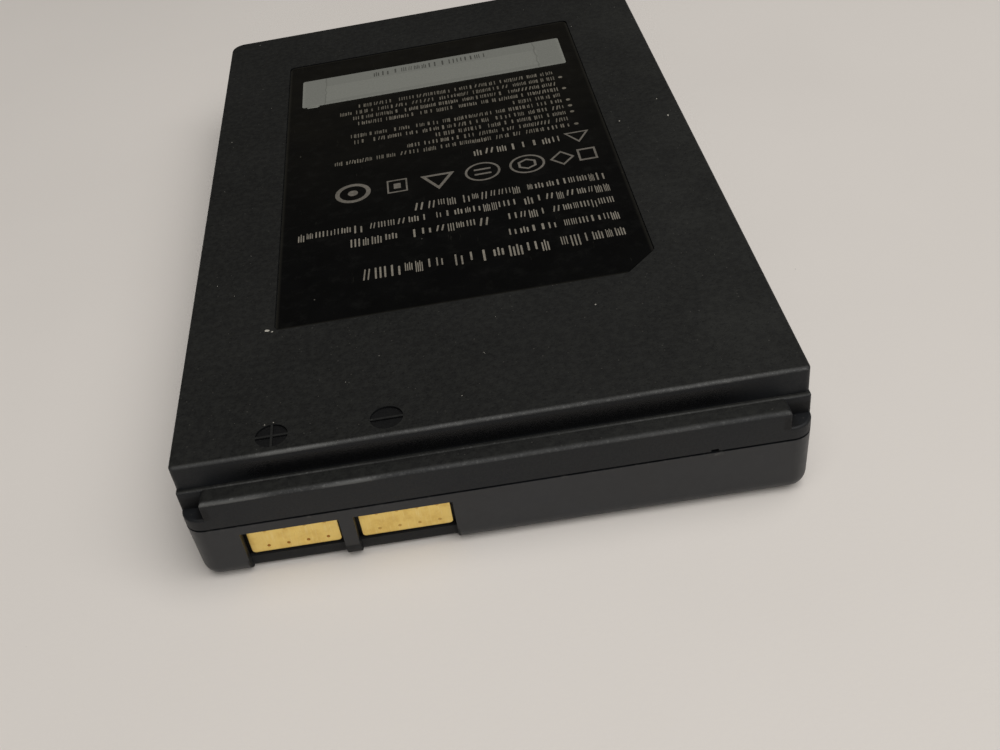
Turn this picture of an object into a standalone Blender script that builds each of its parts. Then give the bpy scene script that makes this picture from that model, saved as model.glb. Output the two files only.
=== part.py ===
"""Slim battery pack: two lithium-polymer pouch cells in series in a two-part moulded case.

The contact end faces -Y, +Z is up and the origin is the centre of the footprint, on the bottom face.
The upper shell closes the tray-like lower shell with a lip. Two gold-plated contact plates stand on a
board behind two windows in the tray's front wall. A protection board lies across the bay between that
board and the cells, and the cells are stacked behind it with their tabs on the board's solder plates.
"""

import math

import bmesh
import bpy
from mathutils import Matrix, Vector

MM = 0.001

# Case envelope
WIDTH = 76.0 * MM
LENGTH = 125.2 * MM
HEIGHT = 17.2 * MM
CORNER = 2.5 * MM
WALL = 1.4 * MM
FLOOR = 1.3 * MM
TOP_WALL = 1.5 * MM
DRAFT = 0.23 * MM
BOTTOM_ROUND = 2.25 * MM
FIT_GAP = 0.3 * MM

# Levels of the case, measured up from the bottom face
RIM_Z = 8.9 * MM
PARTING_Z = RIM_Z + FIT_GAP
LEDGE_Z = 10.9 * MM
RAIL_Z = 13.55 * MM

# Stepped front end, measured back from the front face
BLOCK_SETBACK = 3.0 * MM
STRIP_SETBACK = 2.35 * MM
RAIL_NOTCH = 2.9 * MM
LIP_LENGTH = 0.9 * MM
RIM_SKIN = 0.5 * MM
PRY_NOTCH_X = (25.7 * MM, 26.6 * MM)
PRY_NOTCH_DEPTH = 0.35 * MM
PRY_NOTCH_HEIGHT = 0.3 * MM

# Contacts and their windows
CONTACT_X = (-25.5 * MM, -11.5 * MM)
CONTACT_SIZE = (11.45 * MM, 4.5 * MM, 0.55 * MM)
CONTACT_BASE_Z = 2.6 * MM
CONTACT_SETBACK = 1.4 * MM
WINDOW_WIDTH = 12.2 * MM
WINDOW_TOP_Z = 7.5 * MM
SILL_Z = 2.2 * MM
SILL_SETBACK = 1.3 * MM
SILL_THICKNESS = 0.65 * MM
SILL_ROUND = 1.25 * MM

# Label, serial strip and polarity marks on the top face
LABEL_WIDTH = 51.6 * MM
LABEL_FRONT_Y = -35.2 * MM
LABEL_BACK_Y = 47.0 * MM
LABEL_CHAMFER = 4.4 * MM
LABEL_CORNER = 0.9 * MM
LABEL_RECESS = 0.35 * MM
LABEL_MARGIN = 0.15 * MM
LABEL_TOP_DROP = 0.15 * MM
LABEL_THICKNESS = 0.1 * MM
STRIP_SIZE = (46.7 * MM, 10.5 * MM, 0.07 * MM)
STRIP_FRONT_Y = 29.6 * MM
MARK_Y = -56.5 * MM
MARK_DIAMETER = 4.05 * MM
MARK_DEPTH = 0.3 * MM
MARK_BAR_WIDTH = 0.3 * MM
MARK_BAR_HEIGHT = 0.26 * MM

# Pouch cells
CELL_WIDTH = 68.8 * MM
CELL_FRONT_Y = -45.2 * MM
CELL_BACK_Y = 60.4 * MM
CELL_HEIGHT = 6.15 * MM
CELL_BASE_Z = (1.75 * MM, 8.35 * MM)
CELL_CORNER = 1.5 * MM
TERRACE = 4.0 * MM
TERRACE_Z = 0.85 * MM
POUCH_FILM = 0.15 * MM
POUCH_ROUND = 0.9 * MM
SEAM_GAP = 0.15 * MM
STACK_GAP = 0.35 * MM
STACK_FRONT_GAP = 2.2 * MM
TAB_X = 20.0 * MM
TAB_WIDTH = 8.0 * MM
TAB_THICKNESS = 0.2 * MM
TAB_Z = 0.5 * MM
TAB_END_Y = -55.5 * MM
TAB_BEND_Y = (-50.0 * MM, -52.8 * MM)
SEAL_WIDTH = 10.0 * MM
SEAL_WALL = 0.1 * MM
SEAL_GAP = 0.05 * MM

# Boards
BOARD_THICKNESS = 1.0 * MM
CONTACT_BOARD_X = (-33.5 * MM, -2.5 * MM)
CONTACT_BOARD_Z = (1.6 * MM, 9.0 * MM)
PROTECTION_BOARD_X = 32.0 * MM
PROTECTION_BOARD_Y = (-58.2 * MM, -50.4 * MM)
PROTECTION_BOARD_Z = 5.5 * MM
PLATE_SIZE = (10.0 * MM, 4.0 * MM, 0.3 * MM)
PLATE_Y = -53.8 * MM
PART_GAP = 0.15 * MM
LINK_WIDTH = 4.0 * MM
LINK_THICKNESS = 0.3 * MM
LINK_FOOT_Z = 3.4 * MM
LINK_END_Y = -56.6 * MM

# Ribs and posts inside the tray
RIB_THICKNESS = 0.9 * MM
POST_X = (28.5 * MM, 31.0 * MM)
POST_Y = (-56.0 * MM, -53.0 * MM)
BAY_RIB_X = 28.0 * MM
BAY_RIB_Y = (-50.1 * MM, -49.5 * MM)
BAY_RIB_TOP_Z = 5.0 * MM

# Components on the protection board: position along X, then size
MOSFET_X = {"mosfet_charge": -6.5 * MM, "mosfet_discharge": -0.5 * MM}
MOSFET_SIZE = (5.0 * MM, 4.2 * MM, 1.1 * MM)
CHIP_X, CHIP_SIZE = 5.0 * MM, (1.8 * MM, 3.0 * MM, 1.0 * MM)
SENSE_X, SENSE_SIZE = -29.3 * MM, (3.2 * MM, 6.0 * MM, 0.7 * MM)
FUSE_X, FUSE_SIZE = 28.6 * MM, (3.0 * MM, 6.0 * MM, 1.6 * MM)
CAPACITOR_X = (8.2 * MM, 10.0 * MM, 11.8 * MM)
CAPACITOR_SIZE = (0.9 * MM, 1.7 * MM, 0.8 * MM)
RESISTOR_X = (-6.0 * MM, -2.0 * MM, 2.0 * MM, 6.0 * MM)
RESISTOR_SIZE = (0.9 * MM, 1.7 * MM, 0.5 * MM)
BEAD_PLACE = (10.0 * MM, -46.9 * MM, 9.6 * MM)
BEAD_SIZE = (2.2 * MM, 2.6 * MM, 1.6 * MM)

FRONT_Y = -LENGTH / 2
BACK_Y = LENGTH / 2
SIDE_X = WIDTH / 2
BLOCK_Y = FRONT_Y + BLOCK_SETBACK
STRIP_Y = FRONT_Y + STRIP_SETBACK
CONTACT_FACE_Y = FRONT_Y + CONTACT_SETBACK
CONTACT_BOARD_Y = CONTACT_FACE_Y + CONTACT_SIZE[2] + FIT_GAP
BOARD_TOP_Z = PROTECTION_BOARD_Z + BOARD_THICKNESS
CEILING_Z = HEIGHT - TOP_WALL

ARC_STEPS = 16
FILLET_STEPS = 10
SHARP_ANGLE = math.radians(35)
SILL_SWEEP = math.radians(84)


# ---------------------------------------------------------------- materials

def material(name, colour, roughness, metallic=0.0):
    """A Principled material with one colour, roughness and metallic value."""
    made = bpy.data.materials.new(name)
    made.use_nodes = True
    shader = made.node_tree.nodes["Principled BSDF"]
    shader.inputs["Base Color"].default_value = (*colour, 1.0)
    shader.inputs["Roughness"].default_value = roughness
    shader.inputs["Metallic"].default_value = metallic
    made.diffuse_color = (*colour, 1.0)
    return made


# ---------------------------------------------------------------- outlines

def filleted_polygon(corners, steps=ARC_STEPS):
    """Points of a polygon whose corners (x, y, radius), listed anticlockwise, are rounded with arcs."""
    points = []
    for index, (x, y, radius) in enumerate(corners):
        here = Vector((x, y))
        before = (Vector(corners[index - 1][:2]) - here).normalized()
        after = (Vector(corners[(index + 1) % len(corners)][:2]) - here).normalized()
        half_angle = before.angle(after) / 2
        reach = radius / math.tan(half_angle)
        centre = here + (before + after).normalized() * (radius / math.sin(half_angle))
        start = here + before * reach - centre
        sweep = math.pi - 2 * half_angle
        for step in range(steps + 1):
            angle = sweep * step / steps
            turned = Matrix.Rotation(angle, 2) @ start
            points.append((centre.x + turned.x, centre.y + turned.y))
    return points


def rectangle(x_range, y_range, radii, inset=0.0, steps=ARC_STEPS):
    """A rounded rectangle, moved inward by inset, with radii listed anticlockwise from the front left."""
    x0, x1 = x_range[0] + inset, x_range[1] - inset
    y0, y1 = y_range[0] + inset, y_range[1] - inset
    least = 0.02 * MM
    kept = [max(radius - inset, least) for radius in radii]
    places = ((x0, y0), (x1, y0), (x1, y1), (x0, y1))
    return filleted_polygon([(*place, radius) for place, radius in zip(places, kept)], steps)


def case_outline(inset=0.0):
    """The case's outline in plan, moved inward by inset."""
    return rectangle((-SIDE_X, SIDE_X), (FRONT_Y, BACK_Y), (CORNER,) * 4, inset)


def label_outline(inset=0.0):
    """The label's outline: its front right corner is cut off."""
    x0, x1 = -LABEL_WIDTH / 2 + inset, LABEL_WIDTH / 2 - inset
    y0, y1 = LABEL_FRONT_Y + inset, LABEL_BACK_Y - inset
    cut = LABEL_CHAMFER
    places = ((x0, y0), (x1 - cut, y0), (x1, y0 + cut), (x1, y1), (x0, y1))
    return filleted_polygon([(*place, LABEL_CORNER) for place in places], 3)


# ---------------------------------------------------------------- meshes and objects

def finish(name, shape, look):
    """Turns a bmesh into a named object that is smooth except at its sharp edges."""
    bmesh.ops.recalc_face_normals(shape, faces=shape.faces)
    mesh = bpy.data.meshes.new(name)
    shape.to_mesh(mesh)
    shape.free()
    mesh.shade_smooth()
    mesh.set_sharp_from_angle(angle=SHARP_ANGLE)
    if look:
        mesh.materials.append(look)
    made = bpy.data.objects.new(name, mesh)
    bpy.context.scene.collection.objects.link(made)
    return made


def loft(name, rings, look=None):
    """A closed solid through rings of equally many points, with a flat cap at each end."""
    shape = bmesh.new()
    loops = [[shape.verts.new(point) for point in ring] for ring in rings]
    for lower, upper in zip(loops, loops[1:]):
        for index in range(len(lower)):
            following = (index + 1) % len(lower)
            shape.faces.new((lower[index], lower[following], upper[following], upper[index]))
    shape.faces.new(list(reversed(loops[0])))
    shape.faces.new(loops[-1])
    return finish(name, shape, look)


def level(outline, z):
    return [(x, y, z) for x, y in outline]


def rounded_block(name, outline_at, z_range, look=None, top=0.0, bottom=0.0, draft=0.0):
    """A block whose plan is outline_at(inset), with rounded edges at top and bottom and drafted sides."""
    z0, z1 = z_range

    def drafted(z):
        return draft * (z1 - z) / (z1 - z0)

    rings = []
    if bottom:
        for step in range(FILLET_STEPS + 1):
            angle = math.radians(90) * step / FILLET_STEPS
            z = z0 + bottom * (1 - math.sin(angle))
            rings.insert(0, level(outline_at(drafted(z) + bottom * (1 - math.cos(angle))), z))
    else:
        rings.append(level(outline_at(drafted(z0)), z0))
    if top:
        for step in range(FILLET_STEPS + 1):
            angle = math.radians(90) * step / FILLET_STEPS
            z = z1 - top * (1 - math.sin(angle))
            rings.append(level(outline_at(drafted(z) + top * (1 - math.cos(angle))), z))
    else:
        rings.append(level(outline_at(drafted(z1)), z1))
    return loft(name, rings, look)


def plain_rectangle(x_range, y_range, radius):
    """An outline function for rounded_block: a rectangle with four equal corners."""
    return lambda inset: rectangle(x_range, y_range, (radius,) * 4, inset, 3)


def plain_circle(centre_x, centre_y, radius):
    """An outline function for rounded_block: a circle drawn as four joined arcs."""
    x_range = (centre_x - radius, centre_x + radius)
    y_range = (centre_y - radius, centre_y + radius)
    return lambda inset: rectangle(x_range, y_range, (radius * 0.999,) * 4, inset)


def box(name, x_range, y_range, z_range, look=None):
    """A sharp-edged box between the given limits."""
    shape = bmesh.new()
    bmesh.ops.create_cube(shape, size=1.0)
    limits = (x_range, y_range, z_range)
    size = Vector([high - low for low, high in limits])
    centre = Vector([(low + high) / 2 for low, high in limits])
    bmesh.ops.scale(shape, vec=size, verts=shape.verts)
    bmesh.ops.translate(shape, vec=centre, verts=shape.verts)
    return finish(name, shape, look)


def chip(name, centre, size, look, edge=0.12 * MM):
    """A small moulded or soldered part: a box standing on its centre's level, with softened edges."""
    limits = [(middle - side / 2, middle + side / 2) for middle, side in zip(centre[:2], size[:2])]
    made = box(name, *limits, (centre[2], centre[2] + size[2]), look)
    bevel = made.modifiers.new("soft_edges", "BEVEL")
    bevel.width = edge
    bevel.segments = 1
    return made


def side_profile(name, profile, x_range, look=None):
    """A solid with the given outline in Y and Z, extruded along X."""
    rings = [[(x, y, z) for y, z in profile] for x in x_range]
    return loft(name, rings, look)


def combine(target, other, operation):
    """Joins other to target, or cuts it out of target, and keeps other only as a helper."""
    other.hide_render = True
    other.display_type = "WIRE"
    modifier = target.modifiers.new(other.name, "BOOLEAN")
    modifier.operation = operation
    modifier.solver = "EXACT"
    modifier.object = other


def join(target, *others):
    for other in others:
        combine(target, other, "UNION")


def cut(target, *others):
    for other in others:
        combine(target, other, "DIFFERENCE")


def even_shading(target):
    """Keeps flat faces evenly shaded next to their rounded edges. It comes last, after the cuts."""
    modifier = target.modifiers.new("even_shading", "WEIGHTED_NORMAL")
    modifier.keep_sharp = True


# ---------------------------------------------------------------- case

def window_limits(centre_x):
    return (centre_x - WINDOW_WIDTH / 2, centre_x + WINDOW_WIDTH / 2)


def build_lower_shell(look):
    """The tray: drafted walls, a rounded bottom edge, a rebated rim, ribs and the two contact windows."""
    shell = rounded_block("lower_shell", case_outline, (0.0, RIM_Z), look, bottom=BOTTOM_ROUND, draft=DRAFT)
    above = RIM_Z + 1 * MM
    cavity = rounded_block(
        "tray_cavity", lambda inset: case_outline(WALL + inset), (FLOOR, above), bottom=0.8 * MM
    )
    rebate_z = (RIM_Z - LIP_LENGTH, above)
    rebate = rounded_block("rim_rebate", lambda inset: case_outline(RIM_SKIN + inset), rebate_z)
    cut(shell, cavity, rebate)

    inside_y = FRONT_Y + WALL
    overlap = 0.3 * MM
    sill_back_y = FRONT_Y + SILL_SETBACK + SILL_THICKNESS
    sill_x = (window_limits(CONTACT_X[0])[0] - 1 * MM, window_limits(CONTACT_X[1])[1] + 1 * MM)
    root_z = FLOOR - overlap
    join(shell, box("sill_rib", sill_x, (inside_y - overlap, sill_back_y), (root_z, SILL_Z)))
    rib_y = (inside_y - overlap, CONTACT_BOARD_Y + BOARD_THICKNESS + RIB_THICKNESS)
    for number, (side, edge_x) in enumerate(zip((-1, 1), CONTACT_BOARD_X)):
        rib_x = sorted((edge_x + side * FIT_GAP, edge_x + side * (FIT_GAP + RIB_THICKNESS)))
        join(shell, box(f"contact_board_rib_{number}", rib_x, rib_y, (root_z, WINDOW_TOP_Z)))
    for number, side in enumerate((-1, 1)):
        post_x = sorted(side * x for x in POST_X)
        post_z = (root_z, PROTECTION_BOARD_Z - FIT_GAP)
        join(shell, box(f"board_post_{number}", post_x, POST_Y, post_z))
        wall_x = sorted((side * BAY_RIB_X, side * (SIDE_X - WALL + overlap)))
        join(shell, box(f"bay_rib_{number}", wall_x, BAY_RIB_Y, (root_z, BAY_RIB_TOP_Z)))

    sill_y = FRONT_Y + SILL_SETBACK
    outside_y = FRONT_Y - 2 * MM
    below_z = -1 * MM
    sill_arc = []
    for step in range(FILLET_STEPS + 1):
        angle = SILL_SWEEP * step / FILLET_STEPS
        arc_y = sill_y + SILL_ROUND * (1 - math.cos(angle))
        sill_arc.insert(0, (arc_y, SILL_ROUND * (1 - math.sin(angle))))
    bottom_edge = [(outside_y, below_z), (sill_arc[0][0], below_z)]
    top_edge = [(sill_y, WINDOW_TOP_Z), (outside_y, WINDOW_TOP_Z)]
    notch = bottom_edge + sill_arc + top_edge
    opening_y = (sill_y - overlap, sill_back_y + overlap)
    for number, centre_x in enumerate(CONTACT_X):
        limits = window_limits(centre_x)
        cut(shell, side_profile(f"window_notch_{number}", notch, limits))
        cut(shell, box(f"window_opening_{number}", limits, opening_y, (SILL_Z, WINDOW_TOP_Z)))
    even_shading(shell)
    return shell


def build_upper_shell(look):
    """The cover: band, stepped front with the latch rail, closing lip, label recess and polarity marks."""
    sides = (-SIDE_X, SIDE_X)
    root_z = 9.9 * MM
    shell = rounded_block("upper_shell", case_outline, (PARTING_Z, LEDGE_Z), look, top=0.35 * MM)
    block_radii = (0.7 * MM, 0.7 * MM, CORNER, CORNER)
    block = rounded_block(
        "main_block",
        lambda inset: rectangle(sides, (BLOCK_Y, BACK_Y), block_radii, inset),
        (root_z, HEIGHT),
        top=0.45 * MM,
    )
    strip = rounded_block(
        "front_strip",
        lambda inset: rectangle(sides, (STRIP_Y, BLOCK_Y + 5 * MM), (0.35 * MM,) * 4, inset),
        (root_z, RAIL_Z),
        top=0.2 * MM,
    )
    rail_x = (-SIDE_X + RAIL_NOTCH, SIDE_X - RAIL_NOTCH)
    rail = rounded_block(
        "latch_rail",
        lambda inset: rectangle(rail_x, (FRONT_Y, BLOCK_Y + 4 * MM), (0.2 * MM,) * 4, inset),
        (root_z, RAIL_Z - 0.02 * MM),
        top=0.6 * MM,
    )
    lip_inset = RIM_SKIN + FIT_GAP
    lip_z = (RIM_Z - LIP_LENGTH + FIT_GAP, root_z)
    lip = rounded_block("closing_lip", lambda inset: case_outline(lip_inset + inset), lip_z)
    join(shell, block, strip, rail, lip)

    below = RIM_Z - 3 * MM
    band_cavity = rounded_block(
        "band_cavity", lambda inset: case_outline(WALL + inset), (below, LEDGE_Z - WALL)
    )
    inner_x = (-SIDE_X + WALL, SIDE_X - WALL)
    inner_y = (BLOCK_Y + WALL, BACK_Y - WALL)
    block_cavity = rounded_block(
        "block_cavity", plain_rectangle(inner_x, inner_y, 1.3 * MM), (below, CEILING_Z), top=0.5 * MM
    )
    hollow_x = (rail_x[0] + WALL, rail_x[1] - WALL)
    hollow_y = (FRONT_Y + WALL + 0.1 * MM, BLOCK_Y + 3 * MM)
    rail_cavity = rounded_block(
        "rail_cavity", plain_rectangle(hollow_x, hollow_y, 0.4 * MM), (below, RAIL_Z - WALL)
    )
    cut(shell, band_cavity, block_cavity, rail_cavity)

    notch_y = (FRONT_Y - 1 * MM, FRONT_Y + PRY_NOTCH_DEPTH)
    notch_z = (PARTING_Z - 1 * MM, PARTING_Z + PRY_NOTCH_HEIGHT)
    cut(shell, box("pry_notch", PRY_NOTCH_X, notch_y, notch_z))

    above = HEIGHT + 1 * MM
    recess_z = (HEIGHT - LABEL_RECESS, above)
    cut(shell, rounded_block("label_recess", lambda inset: label_outline(inset - LABEL_MARGIN), recess_z))
    floor_z = HEIGHT - MARK_DEPTH
    bar_z = (floor_z - 0.2 * MM, floor_z + MARK_BAR_HEIGHT)
    bar_length = MARK_DIAMETER + 0.4 * MM
    for number, centre_x in enumerate(CONTACT_X):
        plan = plain_circle(centre_x, MARK_Y, MARK_DIAMETER / 2)
        cut(shell, rounded_block(f"mark_recess_{number}", plan, (floor_z, above)))
        across, along = (bar_length, MARK_BAR_WIDTH), (MARK_BAR_WIDTH, bar_length)
        spans = (across, along) if number == 0 else (across,)
        for turn, (wide, deep) in enumerate(spans):
            bar_x = (centre_x - wide / 2, centre_x + wide / 2)
            bar_y = (MARK_Y - deep / 2, MARK_Y + deep / 2)
            join(shell, box(f"mark_bar_{number}_{turn}", bar_x, bar_y, bar_z))
    even_shading(shell)
    return shell


def build_label(label_look, strip_look):
    """The rating label in its recess, and the serial strip lying on it."""
    label_top = HEIGHT - LABEL_TOP_DROP
    rounded_block("label", label_outline, (label_top - LABEL_THICKNESS, label_top), label_look)
    wide, deep, thick = STRIP_SIZE
    base_z = label_top + 0.05 * MM
    plan = plain_rectangle((-wide / 2, wide / 2), (STRIP_FRONT_Y, STRIP_FRONT_Y + deep), 0.4 * MM)
    rounded_block("serial_strip", plan, (base_z, base_z + thick), strip_look)


# ---------------------------------------------------------------- contacts and boards

def build_contact(name, centre_x, look):
    """A gold-plated plate that stands upright behind its window, facing the front."""
    wide, high, thick = CONTACT_SIZE
    plan = plain_rectangle((-wide / 2, wide / 2), (0.0, high), 0.5 * MM)
    plate = rounded_block(name, plan, (-thick, 0.0), look, top=0.1 * MM)
    plate.data.transform(Matrix.Rotation(math.radians(90), 4, "X"))
    plate.location = (centre_x, CONTACT_FACE_Y, CONTACT_BASE_Z)


def build_boards(looks):
    """The upright contact board, the protection board, its solder plates, components and power links."""
    contact_y = (CONTACT_BOARD_Y, CONTACT_BOARD_Y + BOARD_THICKNESS)
    box("contact_board", CONTACT_BOARD_X, contact_y, CONTACT_BOARD_Z, looks["board"])
    board_x = (-PROTECTION_BOARD_X, PROTECTION_BOARD_X)
    board_z = (PROTECTION_BOARD_Z, BOARD_TOP_Z)
    box("protection_board", board_x, PROTECTION_BOARD_Y, board_z, looks["board"])

    top_z = BOARD_TOP_Z + PART_GAP
    under_z = PROTECTION_BOARD_Z - PART_GAP - PLATE_SIZE[2]
    plates = {
        "solder_plate_plus": (-TAB_X, top_z),
        "solder_plate_middle_top": (TAB_X, top_z),
        "solder_plate_minus": (-TAB_X, under_z),
        "solder_plate_middle_bottom": (TAB_X, under_z),
    }
    for name, (x, z) in plates.items():
        chip(name, (x, PLATE_Y, z), PLATE_SIZE, looks["nickel"], 0.08 * MM)

    for name, x in MOSFET_X.items():
        chip(name, (x, PLATE_Y, top_z), MOSFET_SIZE, looks["epoxy"])
    chip("protection_chip", (CHIP_X, PLATE_Y, top_z), CHIP_SIZE, looks["epoxy"])
    chip("sense_resistor", (SENSE_X, PLATE_Y, top_z), SENSE_SIZE, looks["resistor"])
    chip("fuse", (FUSE_X, PLATE_Y, top_z), FUSE_SIZE, looks["fuse"])
    for number, x in enumerate(CAPACITOR_X):
        chip(f"capacitor_{number + 1}", (x, PLATE_Y, top_z), CAPACITOR_SIZE, looks["capacitor"])
    under_flat_z = PROTECTION_BOARD_Z - PART_GAP - RESISTOR_SIZE[2]
    for number, x in enumerate(RESISTOR_X):
        chip(f"resistor_{number + 1}", (x, PLATE_Y, under_flat_z), RESISTOR_SIZE, looks["resistor"])

    leg_y = CONTACT_BOARD_Y + BOARD_THICKNESS + PART_GAP
    bracket = [
        (leg_y, LINK_FOOT_Z),
        (leg_y + LINK_THICKNESS, LINK_FOOT_Z),
        (leg_y + LINK_THICKNESS, top_z),
        (LINK_END_Y, top_z),
        (LINK_END_Y, top_z + LINK_THICKNESS),
        (leg_y, top_z + LINK_THICKNESS),
    ]
    for name, centre_x in zip(("power_link_plus", "power_link_minus"), CONTACT_X):
        link_x = (centre_x - LINK_WIDTH / 2, centre_x + LINK_WIDTH / 2)
        side_profile(name, bracket, link_x, looks["copper"])


def build_thermistor(bead_look, lead_look):
    """A bead on the upper cell's terrace, with one looped pair of leads down to the protection board."""
    bead_x, bead_y, bead_z = BEAD_PLACE
    chip("thermistor", BEAD_PLACE, BEAD_SIZE, bead_look, 0.5 * MM)
    half = 0.6 * MM
    end_y = -51.2 * MM
    level_z = bead_z + BEAD_SIZE[2] / 2
    front_y = bead_y - BEAD_SIZE[1] / 2 - 0.4 * MM
    route = [
        (bead_x - half, end_y, BOARD_TOP_Z + PART_GAP),
        (bead_x - half, end_y, level_z - 0.8 * MM),
        (bead_x - half, end_y + 0.8 * MM, level_z),
        (bead_x - half, front_y, level_z),
        (bead_x + half, front_y, level_z),
        (bead_x + half, end_y + 0.8 * MM, level_z),
        (bead_x + half, end_y, level_z - 0.8 * MM),
        (bead_x + half, end_y, BOARD_TOP_Z + PART_GAP),
    ]
    curve = bpy.data.curves.new("thermistor_leads", "CURVE")
    curve.dimensions = "3D"
    curve.bevel_depth = 0.2 * MM
    curve.bevel_resolution = 2
    curve.use_fill_caps = True
    spline = curve.splines.new("POLY")
    spline.points.add(len(route) - 1)
    for point, place in zip(spline.points, route):
        point.co = (*place, 1.0)
    curve.materials.append(lead_look)
    bpy.context.scene.collection.objects.link(bpy.data.objects.new("thermistor_leads", curve))


# ---------------------------------------------------------------- cells

def ribbon(route, thickness):
    """The closed outline, in Y and Z, of a strip of even thickness along a route."""
    upper, lower = [], []
    for index, (y, z) in enumerate(route):
        before = Vector(route[max(index - 1, 0)])
        after = Vector(route[min(index + 1, len(route) - 1)])
        along = (after - before).normalized()
        across = Vector((-along.y, along.x)) * thickness / 2
        upper.append((y + across.x, z + across.y))
        lower.append((y - across.x, z - across.y))
    return upper + lower[::-1]


def tab_route(inner_y, tab_z, end_z, steps=8):
    """A straight run out of the pouch, an S-shaped bend and a flat end at the solder plate's level."""
    start_y, stop_y = TAB_BEND_Y
    route = [(inner_y, tab_z)]
    for step in range(steps + 1):
        share = step / steps
        eased = (1 - math.cos(math.pi * share)) / 2
        route.append((start_y + (stop_y - start_y) * share, tab_z + (end_z - tab_z) * eased))
    route.append((TAB_END_Y, end_z))
    return route


def build_cell(level_name, base_z, positive_side, tab_end_z, looks):
    """One pouch cell: formed cup, flat cover, electrode stack, two tabs and the films sealing them."""
    half = CELL_WIDTH / 2
    terrace_y = CELL_FRONT_Y - TERRACE
    cover_z = (base_z, base_z + POUCH_FILM)
    cover_plan = plain_rectangle((-half, half), (terrace_y, CELL_BACK_Y), 0.8 * MM)
    rounded_block(f"pouch_cover_{level_name}", cover_plan, cover_z, looks["pouch"])

    body_y = (CELL_FRONT_Y, CELL_BACK_Y)
    plan = plain_rectangle((-half, half), body_y, CELL_CORNER)
    rim_z = cover_z[1] + SEAM_GAP
    top_z = base_z + CELL_HEIGHT
    cup = rounded_block(f"pouch_cup_{level_name}", plan, (rim_z, top_z), looks["pouch"], top=POUCH_ROUND)
    hollow = rounded_block(
        f"cup_hollow_{level_name}",
        lambda inset: plan(POUCH_FILM + inset),
        (rim_z - 1 * MM, top_z - POUCH_FILM),
        top=POUCH_ROUND - POUCH_FILM,
    )
    terrace_z = base_z + TERRACE_Z
    terrace = box(
        f"terrace_{level_name}",
        (-half + CELL_CORNER, half - CELL_CORNER),
        (terrace_y, CELL_FRONT_Y + POUCH_FILM / 2),
        (terrace_z, terrace_z + POUCH_FILM),
    )
    mouth = box(
        f"tab_mouth_{level_name}",
        (-half + 2 * MM, half - 2 * MM),
        (CELL_FRONT_Y - 1 * MM, CELL_FRONT_Y + 1 * MM),
        (rim_z - 1 * MM, terrace_z),
    )
    cut(cup, hollow)
    join(cup, terrace)
    cut(cup, mouth)

    stack_inset = POUCH_FILM + STACK_GAP
    stack_x = (-half + stack_inset, half - stack_inset)
    stack_y = (CELL_FRONT_Y + STACK_FRONT_GAP, CELL_BACK_Y - stack_inset)
    stack_z = (cover_z[1] + 0.2 * MM, top_z - stack_inset)
    stack_plan = plain_rectangle(stack_x, stack_y, 1.0 * MM)
    rounded_block(f"electrode_stack_{level_name}", stack_plan, stack_z, looks["stack"], top=0.6 * MM)

    tab_z = base_z + TAB_Z
    route = tab_route(stack_y[0] - FIT_GAP, tab_z, tab_end_z)
    tabs = (("positive", positive_side, "aluminium"), ("negative", -positive_side, "nickel"))
    for name, side, look in tabs:
        centre = side * TAB_X
        tab_x = (centre - TAB_WIDTH / 2, centre + TAB_WIDTH / 2)
        side_profile(f"tab_{name}_{level_name}", ribbon(route, TAB_THICKNESS), tab_x, looks[look])
        reach = TAB_THICKNESS / 2 + SEAL_GAP
        seal_y = (terrace_y - 0.6 * MM, CELL_FRONT_Y + 0.4 * MM)
        outer_z = (tab_z - reach - SEAL_WALL, tab_z + reach + SEAL_WALL)
        seal_x = (centre - SEAL_WIDTH / 2, centre + SEAL_WIDTH / 2)
        seal = box(f"tab_seal_{name}_{level_name}", seal_x, seal_y, outer_z, looks["film"])
        slot_x = (tab_x[0] - SEAL_GAP, tab_x[1] + SEAL_GAP)
        slot_y = (seal_y[0] - 1 * MM, seal_y[1] + 1 * MM)
        cut(seal, box(f"seal_slot_{name}_{level_name}", slot_x, slot_y, (tab_z - reach, tab_z + reach)))


def build_packing(looks):
    """The tape under, between and over the cells, and the insulation sheet over the protection board."""
    lower_base, upper_base = CELL_BASE_Z
    gap = 0.15 * MM
    pad_y = (CELL_FRONT_Y + 4 * MM, CELL_BACK_Y - 4 * MM)
    pad_plan = plain_rectangle((-28 * MM, 28 * MM), pad_y, 2 * MM)
    rounded_block("base_tape", pad_plan, (FLOOR + gap, lower_base - gap), looks["tape"])
    rounded_block("cell_tape", pad_plan, (lower_base + CELL_HEIGHT + gap, upper_base - gap), looks["tape"])
    foam_z = (upper_base + CELL_HEIGHT + gap, CEILING_Z - gap)
    rounded_block("foam_pad", pad_plan, foam_z, looks["foam"])
    sheet_y = (PROTECTION_BOARD_Y[0] + 0.6 * MM, PROTECTION_BOARD_Y[1])
    sheet_plan = plain_rectangle((-PROTECTION_BOARD_X, PROTECTION_BOARD_X), sheet_y, 0.8 * MM)
    sheet_z = BOARD_TOP_Z + 4.6 * MM
    rounded_block("insulation_sheet", sheet_plan, (sheet_z, sheet_z + 0.2 * MM), looks["paper"])


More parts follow.
